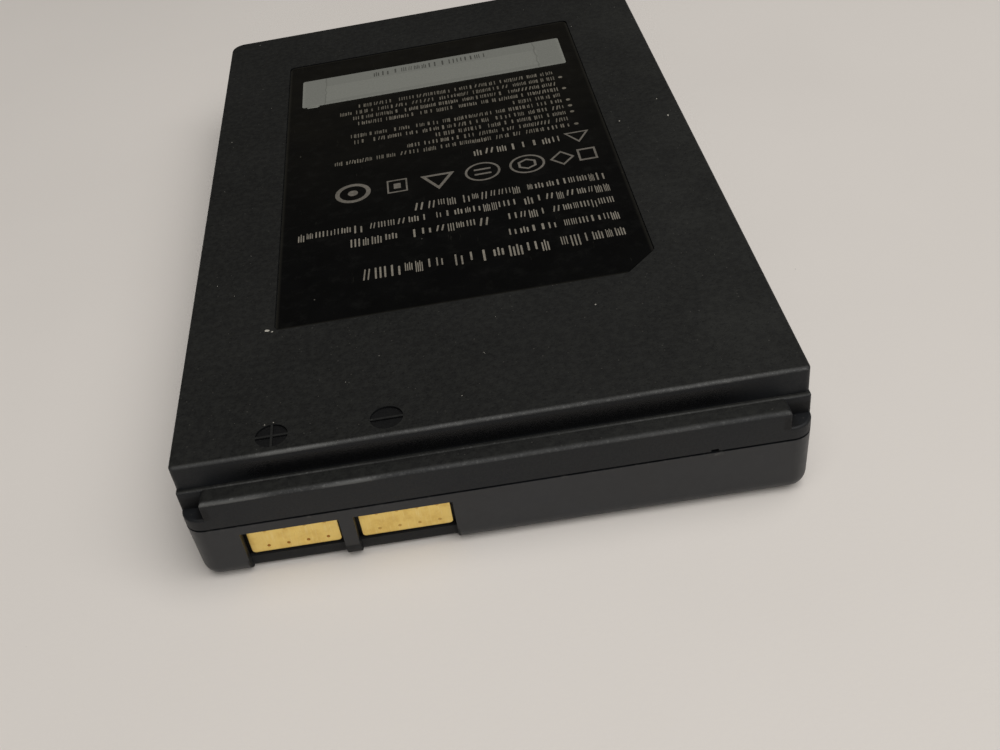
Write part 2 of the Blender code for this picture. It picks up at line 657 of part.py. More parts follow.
def main():
    for leftover in list(bpy.data.objects):
        bpy.data.objects.remove(leftover, do_unlink=True)

    looks = {
        "aluminium": material("tab_aluminium", (0.80, 0.81, 0.82), 0.35, 1.0),
        "nickel": material("nickel", (0.66, 0.63, 0.58), 0.3, 1.0),
        "copper": material("tinned_copper", (0.72, 0.70, 0.66), 0.32, 1.0),
        "pouch": material("aluminium_laminate", (0.74, 0.75, 0.76), 0.42, 0.8),
        "stack": material("electrode_foil", (0.20, 0.20, 0.21), 0.6),
        "film": material("sealing_film", (0.92, 0.91, 0.86), 0.45),
        "board": material("board_laminate", (0.03, 0.16, 0.07), 0.4),
        "epoxy": material("moulded_epoxy", (0.025, 0.025, 0.027), 0.45),
        "resistor": material("resistor_glaze", (0.05, 0.05, 0.06), 0.35),
        "capacitor": material("ceramic_body", (0.52, 0.38, 0.24), 0.4),
        "fuse": material("fuse_ceramic", (0.85, 0.84, 0.80), 0.4),
        "tape": material("adhesive_tape", (0.85, 0.85, 0.80), 0.6),
        "foam": material("black_foam", (0.03, 0.03, 0.03), 0.9),
        "paper": material("insulating_paper", (0.28, 0.34, 0.22), 0.75),
    }
    lower_plastic = material("lower_shell_plastic", (0.021, 0.021, 0.023), 0.42)
    upper_plastic = material("upper_shell_plastic", (0.018, 0.018, 0.017), 0.5)
    gold = material("gold_plating", (0.93, 0.68, 0.25), 0.22, 1.0)
    label_look = material("label_film", (0.006, 0.006, 0.006), 0.35)
    strip_look = material("strip_film", (0.17, 0.175, 0.165), 0.4)
    bead_look = material("bead_resin", (0.05, 0.05, 0.055), 0.35)

    build_lower_shell(lower_plastic)
    build_upper_shell(upper_plastic)
    build_label(label_look, strip_look)
    build_contact("contact_positive", CONTACT_X[0], gold)
    build_contact("contact_negative", CONTACT_X[1], gold)
    build_boards(looks)
    build_thermistor(bead_look, looks["copper"])

    top_tab_z = BOARD_TOP_Z + PART_GAP + PLATE_SIZE[2] + 0.3 * MM
    under_tab_z = PROTECTION_BOARD_Z - PART_GAP - PLATE_SIZE[2] - 0.3 * MM
    build_cell("lower", CELL_BASE_Z[0], 1, under_tab_z, looks)
    build_cell("upper", CELL_BASE_Z[1], -1, top_tab_z, looks)
    build_packing(looks)


main()
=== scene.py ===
"""Finishes and fine detail for a slim, hard-cased lithium-polymer battery pack.

The pack's shells, label film, serial strip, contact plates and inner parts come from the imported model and
keep their shapes. This file gives each of them its material, and adds what is printed, plated or lying on
them: the rows of print, the plain symbols, the plated holes, the film tag, dust and lint.
"""
import math
import random

import bmesh
import bpy
from mathutils import Euler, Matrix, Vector


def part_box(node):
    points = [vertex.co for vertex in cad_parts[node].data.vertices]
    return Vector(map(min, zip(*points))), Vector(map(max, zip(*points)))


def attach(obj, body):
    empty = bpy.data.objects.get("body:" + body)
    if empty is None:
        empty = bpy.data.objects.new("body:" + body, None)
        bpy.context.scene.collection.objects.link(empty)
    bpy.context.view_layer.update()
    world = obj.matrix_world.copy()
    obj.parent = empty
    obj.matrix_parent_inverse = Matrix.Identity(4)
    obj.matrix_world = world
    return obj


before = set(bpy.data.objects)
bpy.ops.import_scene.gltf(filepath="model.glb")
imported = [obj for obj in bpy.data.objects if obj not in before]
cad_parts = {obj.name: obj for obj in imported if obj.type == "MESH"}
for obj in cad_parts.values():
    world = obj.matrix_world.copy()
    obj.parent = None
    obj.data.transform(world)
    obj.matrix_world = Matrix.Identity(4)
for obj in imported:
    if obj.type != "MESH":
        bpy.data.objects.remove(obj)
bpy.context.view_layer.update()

bl_info = {
    "name": "Battery pack finish",
    "version": (1, 0, 0),
    "blender": (4, 5, 0),
    "location": "3D View > Sidebar > Battery",
    "description": "Gives a packed battery its plastics, metals, print and dust, and sets its stage",
    "category": "Object",
}

MM = 0.001
BODY = "root"

# Places and sizes from here on are in millimetres, and are turned into metres where they are used.
COVER_LOW, COVER_HIGH = (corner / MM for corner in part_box("upper_shell"))
LABEL_LOW, LABEL_HIGH = (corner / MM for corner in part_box("label"))
STRIP_LOW, STRIP_HIGH = (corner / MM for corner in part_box("serial_strip"))
PLUS_LOW, PLUS_HIGH = (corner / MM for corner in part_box("contact_positive"))
MINUS_LOW, MINUS_HIGH = (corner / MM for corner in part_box("contact_negative"))

FRONT_Y = COVER_LOW.y
TOP_Z = COVER_HIGH.z
SIDE_X = COVER_HIGH.x
BLOCK_Y = FRONT_Y + 3.0
LEDGE_Z = 10.9
RAIL_Z = 13.55
PARTING_Z = 9.05
SILL_Z = 2.7
PLUS_DISC = (-25.5, FRONT_Y + 6.1)
MINUS_DISC = (-11.5, FRONT_Y + 6.1)
DISC_RADIUS = 2.03

# Words of the printed rows, as (start X, end X, baseline Y, capital height, letters), in millimetres.
# The rows read towards -X and their tops point at the contact end.
HEAD_WORDS = (
    (23.3, 14.0, -24.1, 2.75, 6),
    (12.7, -1.0, -24.1, 2.75, 7),
    (-2.1, -14.0, -24.1, 2.75, 7),
)
ROW_WORDS = (
    (23.2, 15.2, -19.9, 2.1, 6),
    (14.4, 7.2, -19.9, 2.1, 4),
    (23.2, 14.0, -15.8, 2.1, 7),
    (13.4, 7.6, -15.8, 2.1, 4),
    (5.3, -6.8, -15.8, 2.1, 7),
    (-8.2, -15.6, -15.8, 2.1, 4),
    (23.2, 10.3, -12.1, 2.1, 9),
    (9.5, -2.6, -12.1, 2.1, 9),
    (-3.7, -12.6, -12.1, 2.1, 6),
    (-13.2, -23.4, -12.1, 2.1, 7),
    (23.2, 11.4, -8.6, 2.1, 8),
    (10.5, 1.6, -8.6, 2.1, 7),
    (0.9, -5.9, -8.6, 2.1, 4),
)
HEADING_WORD = ((18.4, 4.4, 4.5, 1.9, 8),)
# Fine print: end X of each row and whether a bullet stands before it, in millimetres.
FINE_START_X = 20.5
FINE_FIRST_Y = 8.1
FINE_PITCH = 2.15
FINE_HEIGHT = 1.32
FINE_ADVANCE = 1.02
FINE_ROWS = (
    (-17.8, True), (-6.7, False), (-2.1, True), (-15.6, True), (-16.9, True),
    (10.9, False), (-14.5, True), (-15.4, False), (-17.6, True), (-13.6, False),
)
BULLET_X = 21.55
# The largest flecks on the top face, as (X, Y, radius, share of the radius across Y), in millimetres.
FLECKS = (
    (-26.9, -35.1, 0.42, 0.7), (-26.2, -35.5, 0.18, 1.0), (35.6, 4.8, 0.16, 2.2), (28.1, 5.6, 0.13, 1.4),
    (-25.3, -54.2, 0.10, 0.7), (-26.4, -54.4, 0.12, 0.5), (16.2, -41.1, 0.11, 1.4), (35.1, 10.8, 0.10, 1.8),
)
STRIP_WORDS = ((10.3, -10.6, 39.05, 1.75, 14),)
# Middles of the two rows of symbols, the bullets' radius and the blank between words, in millimetres.
SYMBOL_Y = -2.55
HEADING_SYMBOL_Y = 3.7
BULLET_RADIUS = 0.36
WORD_GAP = 0.75
# The filled holes stand in rows of four, a pitch apart and a little off the plate's middle.
HOLE_PITCH = 2.5
HOLE_SHIFT = 0.35
# The fill light's power, as a share of the key light's.
FILL_SHARE = 0.18


# ------------------------ colours and nodes

def linear(code):
    """An sRGB hex colour as linear red, green, blue and alpha."""
    parts = [int(code[index:index + 2], 16) / 255 for index in (0, 2, 4)]
    return (*[p / 12.92 if p <= 0.04045 else ((p + 0.055) / 1.055) ** 2.4 for p in parts], 1.0)


class Value:
    """What a node gives out. Numbers of this kind can be added, multiplied and so on."""

    def __init__(self, socket):
        self.socket = socket
        self.tree = socket.id_data

    def __add__(self, other):
        return maths("ADD", self, other)

    def __sub__(self, other):
        return maths("SUBTRACT", self, other)

    def __rsub__(self, other):
        return maths("SUBTRACT", other, self)

    def __mul__(self, other):
        return maths("MULTIPLY", self, other)

    def __truediv__(self, other):
        return maths("DIVIDE", self, other)

    def __abs__(self):
        return maths("ABSOLUTE", self)

    def held(self):
        """The number held between 0 and 1."""
        return Value(add(self.tree, "ShaderNodeClamp", {"Value": self}).outputs[0])


def add(tree, kind, inputs=None, **settings):
    """Adds a node with its settings, and sets or links its inputs by socket name or number."""
    made = tree.nodes.new(kind)
    for key, value in settings.items():
        setattr(made, key, value)
    for socket, value in (inputs or {}).items():
        if isinstance(value, Value):
            tree.links.new(value.socket, made.inputs[socket])
        else:
            made.inputs[socket].default_value = value
    return made


def give(tree, kind, inputs=None, output=0, **settings):
    """Adds a node and returns one of its outputs."""
    return Value(add(tree, kind, inputs, **settings).outputs[output])


def maths(operation, first, second=0.0):
    """The output of one Math node, where either number may come from a node."""
    tree = first.tree if isinstance(first, Value) else second.tree
    return give(tree, "ShaderNodeMath", {0: first, 1: second}, operation=operation)


def ramp(value, low, high, to_low=0.0, to_high=1.0):
    """The value carried smoothly from low..high to to_low..to_high."""
    inputs = {"Value": value, "From Min": low, "From Max": high, "To Min": to_low, "To Max": to_high}
    return give(value.tree, "ShaderNodeMapRange", inputs, "Result", interpolation_type="SMOOTHSTEP")


def fall(value, low, high):
    """1 up to low, going smoothly down to 0 at high."""
    return ramp(value, low, high, 1.0, 0.0)


def band(value, low, high, soft):
    """1 where the value lies between low and high, fading to 0 over soft on each side."""
    return ramp(value, low - soft, low + soft) * fall(value, high - soft, high + soft)


def blend(share, first, second):
    """First where share is 0 and second where it is 1. Sockets 6, 7 and output 2 are the colour ones."""
    return give(share.tree, "ShaderNodeMix", {0: share, 6: first, 7: second}, 2, data_type="RGBA")


def paint(base, share, code):
    """The base colour, gone over with a hex colour where share is 1."""
    return blend(share, base, linear(code))


def noise(place, size, detail=2.0, roughness=0.5, distortion=0.0):
    """Noise whose features are about size across."""
    inputs = {
        "Vector": place, "Scale": 1 / (size * MM), "Detail": detail, "Roughness": roughness,
        "Distortion": distortion,
    }
    return give(place.tree, "ShaderNodeTexNoise", inputs, "Fac")


def stretched(place, factors, turn=0.0):
    """The place scaled along each axis, which draws a pattern out along the axes with small factors."""
    inputs = {"Vector": place, "Scale": factors, "Rotation": (0.0, 0.0, turn)}
    return give(place.tree, "ShaderNodeMapping", inputs, "Vector")


def specks(place, pitch, radius, share):
    """Round specks of a radius, one in each of a share of the cells that are pitch apart."""
    inputs = {"Vector": place, "Scale": 1 / (pitch * MM), "Randomness": 1.0}
    cells = add(place.tree, "ShaderNodeTexVoronoi", inputs, feature="F1").outputs
    reach = radius / pitch
    near = fall(Value(cells["Distance"]), reach * 0.5, reach)
    pick = add(place.tree, "ShaderNodeSeparateColor", {"Color": Value(cells["Color"])}).outputs
    return near * maths("LESS_THAN", Value(pick[0]), share) * ramp(Value(pick[1]), 0.0, 1.0, 0.25, 1.0)


def disc_share(place, centre):
    """1 inside one of the cover's polarity discs, seen from above."""
    inputs = {0: place, 1: (1 / MM, 1 / MM, 0.0)}
    flat = give(place.tree, "ShaderNodeVectorMath", inputs, operation="MULTIPLY")
    inputs = {0: flat, 1: (*centre, 0.0)}
    away = give(place.tree, "ShaderNodeVectorMath", inputs, "Value", operation="DISTANCE")
    return fall(away, DISC_RADIUS - 0.02, DISC_RADIUS + 0.05)


def axes_of(vector):
    """A vector's X, Y and Z."""
    return [Value(axis) for axis in add(vector.tree, "ShaderNodeSeparateXYZ", {"Vector": vector}).outputs]


def start_material(name, slot_colour):
    """A material, its object coordinates, and their X, Y and Z in millimetres."""
    material = bpy.data.materials.new(name)
    material.use_nodes = True
    material.diffuse_color = slot_colour
    place = give(material.node_tree, "ShaderNodeTexCoord", output="Object")
    return material, place, [axis * (1 / MM) for axis in axes_of(place)]


def finished(material, base, rough, height, depth, constants=None):
    """The material with its colour, its roughness and a relief that is depth high where height is 1."""
    tree = material.node_tree
    shader = tree.nodes["Principled BSDF"]
    relief = {"Height": height, "Distance": depth * MM, "Strength": 1.0}
    normal = give(tree, "ShaderNodeBump", relief, "Normal")
    for name, value in (("Base Color", base), ("Roughness", rough), ("Normal", normal)):
        tree.links.new(value.socket, shader.inputs[name])
    for name, value in (constants or {}).items():
        shader.inputs[name].default_value = value
    return material


# ------------------------ materials of the case

def cover_plastic(settings):
    """Moulded PC/ABS with a spark-eroded top: near-black, dry, greyer where rubbed, with painted highlights,
    sheen and shade.
    """
    colour = tuple(settings.cover_colour)
    material, place, (x, y, z) = start_material("moulded_pc_abs_spark_textured", colour)
    normal = give(place.tree, "ShaderNodeNewGeometry", output="Normal")
    level = ramp(axes_of(normal)[2], 0.6, 0.95)
    on_top = level * ramp(z, RAIL_Z - 0.6, RAIL_Z - 0.1)

    # The mould's spark texture is about 0.1 mm; it is drawn at the grain setting so that it shows.
    grain = noise(place, settings.grain / MM, 3.0, 0.65)
    fine = noise(place, settings.grain / MM * 0.45, 2.0, 0.6)
    cloud = noise(place, 11, 4.0, 0.6)
    patch = noise(place, 34, 2.0, 0.5)
    scuff_place = stretched(place, (0.45, 1.2, 1.0), math.radians(12))
    scuffs = ramp(noise(scuff_place, 1.3, 5.0, 0.75, 0.6), 0.60, 0.80)
    mottle = ramp(noise(place, 0.95, 3.0, 0.6), 0.36, 0.66)
    # Painted sheen: the top grows lighter towards +X, in clouds, where the light falls on it.
    painted_sheen = ramp(x, 16, 34) * ramp(cloud, 0.35, 0.65, 0.3, 1.0)
    dust = specks(place, 3.1, 0.13, 0.20) * 0.8 + specks(place, 0.8, 0.11, 0.45) * 0.28

    # The block's front edge, the rail's front edge and the rail's root slide against the slot: they are painted
    # lighter, partly for their scuffs and chips and partly as a painted highlight along each edge.
    wander = noise(stretched(place, (0.12, 1.0, 1.0)), 1.4, 3.0, 0.55)
    chips = ramp(noise(place, 0.45, 3.0, 0.7), 0.50, 0.70)
    wear_and_highlight_strength = ramp(wander, 0.36, 0.64, 0.40, 0.95) + chips * 0.9
    block_edge = band(y, BLOCK_Y - 0.2, BLOCK_Y + 0.25, 0.30) * ramp(z, TOP_Z - 0.5, TOP_Z - 0.15)
    rail_edge = band(y, FRONT_Y - 0.2, FRONT_Y + 0.2, 0.25) * band(z, RAIL_Z - 0.45, RAIL_Z + 0.3, 0.15)
    root_edge = band(y, BLOCK_Y - 0.55, BLOCK_Y - 0.3, 0.12) * band(z, RAIL_Z - 0.3, RAIL_Z + 0.3, 0.1)
    block_share = band(x, -27, -19, 2) + ramp(x, -34, -8, 0.45, 0.8)
    rail_share = band(x, -36, -27, 2) * 2.0 + band(x, -20, -14, 2) * 1.4 + 0.6
    edge_wear_and_highlight = ((block_edge * block_share + rail_edge * rail_share + root_edge * 0.5) * wear_and_highlight_strength).held()

    # The polished discs are darker in their own finish; the wall above the rail, the pockets at its ends, the
    # ledge corners beside them and the walls of the label's recess are darkened with painted shade.
    side = abs(x)
    discs = maths("MAXIMUM", disc_share(place, PLUS_DISC), disc_share(place, MINUS_DISC))
    sunk = discs * fall(z, TOP_Z - 0.16, TOP_Z - 0.06)
    raised = discs * ramp(z, TOP_Z - 0.12, TOP_Z - 0.05)
    wall = (band(z, RAIL_Z + 0.15, TOP_Z - 0.9, 0.25)
            * band(y, BLOCK_Y - 0.3, BLOCK_Y + 0.3, 0.1) * fall(side, 26, 35))
    pocket = (ramp(side, 34.0, 34.4) * band(z, LEDGE_Z + 0.1, RAIL_Z - 0.9, 0.3)
              * fall(y, BLOCK_Y - 0.1, BLOCK_Y + 0.6))
    corner = (band(side, 34.35, 36.0, 0.5) * ramp(z, LEDGE_Z - 0.3, LEDGE_Z - 0.1)
              * fall(z, LEDGE_Z + 0.2, LEDGE_Z + 0.5))
    recess = ((1.0 - level) * fall(side, 30, 31) * ramp(y, BLOCK_Y + 5, BLOCK_Y + 6)
              * fall(y, LABEL_HIGH.y + 2, LABEL_HIGH.y + 3))
    disc_tone_and_painted_shade = (sunk + wall * 0.95 + pocket * 0.9 + corner * 0.8 + recess).held()

    lighter = tuple(min(1.0, c * 2.1) for c in colour[:3]) + (1.0,)
    base = blend(on_top, tuple(settings.wall_colour), colour)
    base = blend(ramp(cloud, 0.35, 0.75, 0.0, 0.35), base, lighter)
    base = paint(base, scuffs * level * 0.16, "4f504a")
    base = paint(base, mottle * on_top * 0.15, "3a3b37")
    # Painted sheen on the top face towards +X.
    base = paint(base, painted_sheen * on_top * 0.09, "474843")
    base = paint(base, fall(grain, 0.30, 0.46) * on_top * 0.60, "080808")
    # Painted shade on the wall above the rail, the pockets, the ledge corners and the recess walls; the discs'
    # own darker tone.
    base = paint(base, disc_tone_and_painted_shade * 0.90, "040405")
    base = paint(base, raised * 0.5, "222221")
    # Painted highlight along the front edges and the rail's root, with the edges' real scuffs and chips.
    base = paint(base, edge_wear_and_highlight * 0.46, "777775")
    base = paint(base, (dust * level * 0.5).held(), "9a968c")

    # The wall above the rail is smooth and mirrors the dark rail; with its painted shade it looks almost black.
    rough = ramp(patch, 0.3, 0.7, 0.50, 0.60) + ramp(grain, 0.3, 0.7, -0.05, 0.06)
    rough = rough - edge_wear_and_highlight * 0.14 + on_top * 0.04 - wall * 0.30
    height = grain * ramp(on_top * (1.0 - sunk), 0.0, 1.0, 0.25, 1.0) + fine * 0.5
    return finished(material, base, rough, height, settings.grain_depth / MM,
                    {"IOR": 1.5, "Specular IOR Level": 0.3})


def tray_plastic(settings):
    """Moulded PC/ABS from a polished tool: smooth, satin and dark grey, with faint handling marks."""
    colour = tuple(settings.wall_colour)
    material, place, (x, y, z) = start_material("moulded_pc_abs_satin", colour)
    skin = noise(place, 0.9, 2.0, 0.5)
    fine = noise(place, 0.22, 2.0, 0.5)
    cloud = noise(place, 14, 3.0, 0.55)
    scratch_place = stretched(place, (0.12, 2.0, 2.4), math.radians(4))
    scratches = ramp(noise(scratch_place, 0.8, 4.0, 0.7), 0.64, 0.80)
    rim = band(z, PARTING_Z - 0.45, PARTING_Z + 0.3, 0.1)
    nicks = ramp(noise(place, 1.1, 4.0, 0.7), 0.52, 0.72)
    marks = (scratches * 0.35 + rim * nicks).held()
    # Where a blade has opened the case beside the parting line, the plastic is bruised.
    bruise = (band(x, 25.3, 27.2, 0.25)
              * band(z, PARTING_Z - 0.6, PARTING_Z - 0.3, 0.14)
              * ramp(noise(place, 0.5, 3.0, 0.6), 0.40, 0.60)
              * fall(y, FRONT_Y + 1, FRONT_Y + 2))
    foot = fall(z, 0.0, 1.2) * nicks
    # The sill under the contact windows is darkened with painted shade, a little uneven.
    sill = (fall(z, SILL_Z - 0.2, SILL_Z + 0.1)
            * band(x, PLUS_LOW.x - 0.6, MINUS_HIGH.x + 0.6, 0.1)
            * band(y, FRONT_Y + 0.1, FRONT_Y + 4, 0.1))

    base = paint(colour, ramp(cloud, 0.35, 0.7, 0.0, 0.4), "292b2f")
    base = paint(base, marks * 0.35, "5a5955")
    base = paint(base, (bruise + foot).held() * 0.3, "6b6964")
    # Painted shade on the sill under the contact windows.
    base = paint(base, sill * ramp(nicks, 0.0, 1.0, 0.75, 0.35), "060607")
    rough = ramp(cloud, 0.3, 0.7, 0.40, 0.50) + ramp(skin, 0.3, 0.7, -0.03, 0.03) + marks * 0.12 + sill * 0.35
    return finished(material, base, rough, skin * 0.6 + fine * 0.3, 0.012, {"IOR": 1.5})


# ------------------------ materials of the label

def label_film(settings):
    """Screen-printed polyester film, satin black: deep and slightly warm, with a painted highlight along its
    edges.
    """
    colour = tuple(settings.film_colour)
    material, place, (x, y, _) = start_material("printed_polyester_film", colour)
    side = ramp(abs(x), LABEL_HIGH.x - 0.5, LABEL_HIGH.x - 0.05)
    ends = (fall(y, LABEL_LOW.y + 0.05, LABEL_LOW.y + 0.45)
            + ramp(y, LABEL_HIGH.y - 0.5, LABEL_HIGH.y - 0.05)).held()
    warm = ramp(y, LABEL_LOW.y + 8, LABEL_HIGH.y)
    cloud = noise(place, 6, 5.0, 0.65)
    hair_place = stretched(place, (1.6, 0.2, 1.0), math.radians(28))
    hairs = ramp(noise(hair_place, 1.2, 4.0, 0.7), 0.66, 0.80)
    smear = ramp(noise(place, 2.2, 5.0, 0.7), 0.48, 0.75)
    weave = noise(place, 0.5, 3.0, 0.6)

    base = blend(warm * ramp(cloud, 0.3, 0.7, 0.5, 1.0), colour, tuple(settings.film_back_colour))
    base = paint(base, smear * 0.28, "1d1d1b")
    # Painted highlight along the label's edges.
    base = paint(base, maths("MAXIMUM", side, ends) * 0.22, "3c3a33")
    base = paint(base, hairs * 0.22, "57544b")
    base = paint(base, specks(place, 2.6, 0.13, 0.22) * 0.5, "8e8a80")
    rough = ramp(cloud, 0.3, 0.7, 0.36, 0.46) + hairs * 0.12
    return finished(material, base, rough, weave + cloud * 2.0, 0.01,
                  {"IOR": 1.47, "Specular IOR Level": 0.18})


def strip_film(settings):
    """Metallised polyester with a matt topcoat: plain silver-grey, with faint creases near its ends."""
    colour = tuple(settings.strip_colour)
    material, place, (x, y, _) = start_material("metallised_polyester_matt", colour)
    field = band(x, -19.2, 19.0, 0.08) * band(y, STRIP_LOW.y + 1.3, STRIP_HIGH.y - 3.4, 0.08)
    cloud = noise(place, 5, 4.0, 0.6)
    speckle = noise(place, 0.4, 3.0, 0.6)
    wander = noise(place, 3, 2.0, 0.5) * 1.2
    creases = (band(x + wander, -18.6, -18.45, 0.12) + band(x - wander, 18.0, 18.15, 0.12)).held()
    rim = maths("MAXIMUM", ramp(abs(x), STRIP_HIGH.x - 0.7, STRIP_HIGH.x),
                fall(y, STRIP_LOW.y, STRIP_LOW.y + 0.6))

    base = paint(colour, ramp(cloud, 0.3, 0.7, 0.0, 0.5), "8e8f88")
    base = paint(base, field * 0.4, "9fa098")
    base = paint(base, creases * 0.4, "55554f")
    base = paint(base, rim * ramp(speckle, 0.35, 0.6, 0.1, 0.5), "a6a79e")
    height = cloud + creases * 1.5 + speckle * 0.3
    return finished(material, base, ramp(speckle, 0.3, 0.7, 0.38, 0.50), height, 0.03, {"Metallic": 0.35})


def ink(name, colour, thin_code):
    """Screen-printed ink: dull and a little broken, so the film shows through where it lies thin."""
    colour = tuple(colour)
    material, place, _ = start_material(name, colour)
    broken = noise(place, 0.35, 4.0, 0.7)
    faded = noise(place, 4, 3.0, 0.6)
    share = ramp(broken, 0.35, 0.65, 0.0, 0.5) + ramp(faded, 0.35, 0.65, 0.0, 0.3)
    rough = ramp(broken, 0.3, 0.7, 0.45, 0.6)
    return finished(material, paint(colour, share, thin_code), rough, broken, 0.01, {"IOR": 1.5})


# ------------------------ metals and inner materials

def contact_gold(settings):
    """Thin gold plate over nickel: warm and satin, with wiping marks across it and a little tarnish."""
    colour = tuple(settings.gold_colour)
    material, place, (_, _, z) = start_material("gold_plate_over_nickel", colour)
    # Contact springs wipe the plates in lines along Z.
    wipes = noise(stretched(place, (2.2, 1.0, 0.12)), 0.45, 4.0, 0.7)
    stain = noise(place, 1.6, 4.0, 0.65)
    fine = noise(place, 0.18, 2.0, 0.6)
    rim = (fall(z, PLUS_LOW.z, PLUS_LOW.z + 0.35) + ramp(z, PLUS_HIGH.z - 0.35, PLUS_HIGH.z)).held()
    base = paint(colour, ramp(stain, 0.42, 0.72, 0.0, 0.35), "d4a648")
    base = paint(base, ramp(wipes, 0.5, 0.75, 0.0, 0.5), "fff0bc")
    base = paint(base, rim * 0.25, "8a6128")
    rough = ramp(stain, 0.3, 0.7, 0.30, 0.42) + ramp(wipes, 0.3, 0.7, -0.05, 0.07)
    return finished(material, base, rough, wipes + fine * 0.4, 0.012, {"Metallic": 1.0})


def hole_filler():
    """Solder and flux residue in the plated holes: brown-orange, and all but wiped off most of them."""
    material, place, (x, _, z) = start_material("oxidised_hole_filler", linear("b37a2c"))
    low_row = fall(z, PLUS_LOW.z + 1.2, PLUS_LOW.z + 1.6)
    kept = low_row * ramp(x, PLUS_HIGH.x, MINUS_LOW.x, 1.0, 0.25)
    spots = noise(place, 0.2, 3.0, 0.6)
    share = ramp(kept, 0.0, 1.0, 0.2, 1.0) * ramp(spots, 0.3, 0.6, 0.7, 1.0)
    base = paint(linear("e2bd68"), share, "a96c1e")
    return finished(material, base, ramp(spots, 0.3, 0.7, 0.35, 0.5), spots, 0.01, {"Metallic": 0.8})


def plain_metal(name, code, rough, grain):
    """Rolled or drawn metal: bright, with fine lines along the way it was rolled."""
    colour = linear(code)
    material, place, _ = start_material(name, colour)
    lines = noise(stretched(place, (2.0, 0.1, 0.6)), grain, 3.0, 0.6)
    spots = noise(place, 2.2, 3.0, 0.6)
    darker = tuple(c * 0.7 for c in colour[:3]) + (1.0,)
    base = blend(ramp(spots, 0.4, 0.75, 0.0, 0.5), colour, darker)
    rough = ramp(lines, 0.3, 0.7, rough - 0.06, rough + 0.08)
    return finished(material, base, rough, lines, 0.01, {"Metallic": 1.0})


def plain_body(name, colour, rough, grain, depth, ior=1.5):
    """A non-metal that varies a little in tone and has an even grain."""
    colour = tuple(colour)
    material, place, _ = start_material(name, colour)
    grains = noise(place, grain, 3.0, 0.6)
    tone = noise(place, grain * 12, 3.0, 0.6)
    paler = tuple(min(1.0, c * 1.35 + 0.003) for c in colour[:3]) + (1.0,)
    base = blend(ramp(tone, 0.35, 0.7, 0.0, 0.6), colour, paler)
    rough = ramp(grains, 0.3, 0.7, rough - 0.05, rough + 0.07)
    return finished(material, base, rough, grains, depth, {"IOR": ior})


def stage_surface(settings):
    """Coated white board: pale, warm and matt, with tiny specks of grit."""
    colour = tuple(settings.floor_colour)
    material, place, _ = start_material("coated_white_board", colour)
    cloud = noise(place, 60, 3.0, 0.5)
    tooth = noise(place, 0.6, 3.0, 0.6)
    base = blend(ramp(cloud, 0.35, 0.7, 0.0, 0.35), colour, tuple(settings.floor_shade))
    base = paint(base, specks(place, 5.5, 0.16, 0.16) * 0.55, "8f8a82")
    return finished(material, base, ramp(tooth, 0.3, 0.7, 0.62, 0.72), tooth, 0.02)


# ------------------------ building helpers

def finish_node(name, material):
    """Gives one of the model's nodes its material."""
    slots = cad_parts[name].data.materials
    slots.clear()
    slots.append(material)


def add_piece(name, mesh, material=None):
    """Links a finished mesh as a piece that rides on the pack."""
    if material:
        mesh.materials.clear()
        mesh.materials.append(material)
    made = bpy.data.objects.new(name, mesh)
    bpy.context.scene.collection.objects.link(made)
    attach(made, BODY)


def start_tree(name, sockets):
    """A Geometry Nodes tree with the named inputs, and what its Group Input gives."""
    tree = bpy.data.node_groups.new(name, "GeometryNodeTree")
    tree.interface.new_socket(name="Geometry", in_out="OUTPUT", socket_type="NodeSocketGeometry")
    inputs = (("Geometry", "Geometry", None), *sockets, ("Material", "Material", None))
    for label, kind, default in inputs:
        made = tree.interface.new_socket(name=label, in_out="INPUT", socket_type="NodeSocket" + kind)
        if default is not None:
            made.default_value = default
    given = add(tree, "NodeGroupInput").outputs
    return tree, {socket.name: Value(socket) for socket in given if socket.name}


def close_tree(tree, given, instances):
    """Makes the instances real, gives them their material and sends them out."""
    real = give(tree, "GeometryNodeRealizeInstances", {"Geometry": instances})
    painted = give(tree, "GeometryNodeSetMaterial", {"Geometry": real, "Material": given["Material"]})
    add(tree, "NodeGroupOutput", {"Geometry": painted})
    return tree


def combined(tree, x=0.0, y=0.0, z=0.0):
    """A vector of three numbers."""
    return give(tree, "ShaderNodeCombineXYZ", {"X": x, "Y": y, "Z": z})


def stored(geometry, name, value, kind):
    """The geometry with a named attribute on its points."""
    inputs = {"Geometry": geometry, "Name": name, "Value": value}
    return give(geometry.tree, "GeometryNodeStoreNamedAttribute", inputs, data_type=kind, domain="POINT")


def run_tree(name, base, tree, values):
    """Runs a tree on a base mesh and returns the resulting plain mesh."""
    holder = bpy.data.objects.new(name + "_base", base)
    bpy.context.scene.collection.objects.link(holder)
    modifier = holder.modifiers.new("build", "NODES")
    modifier.node_group = tree
    for item in tree.interface.items_tree:
        if item.in_out == "INPUT" and item.name in values:
            modifier[item.identifier] = values[item.name]
    graph = bpy.context.evaluated_depsgraph_get()
    mesh = bpy.data.meshes.new_from_object(holder.evaluated_get(graph), depsgraph=graph)
    mesh.name = name
    holder.modifiers.clear()
    bpy.data.objects.remove(holder)
    if not mesh.polygons:
        raise RuntimeError(f"{name} came out empty")
    return mesh


# ------------------------ print

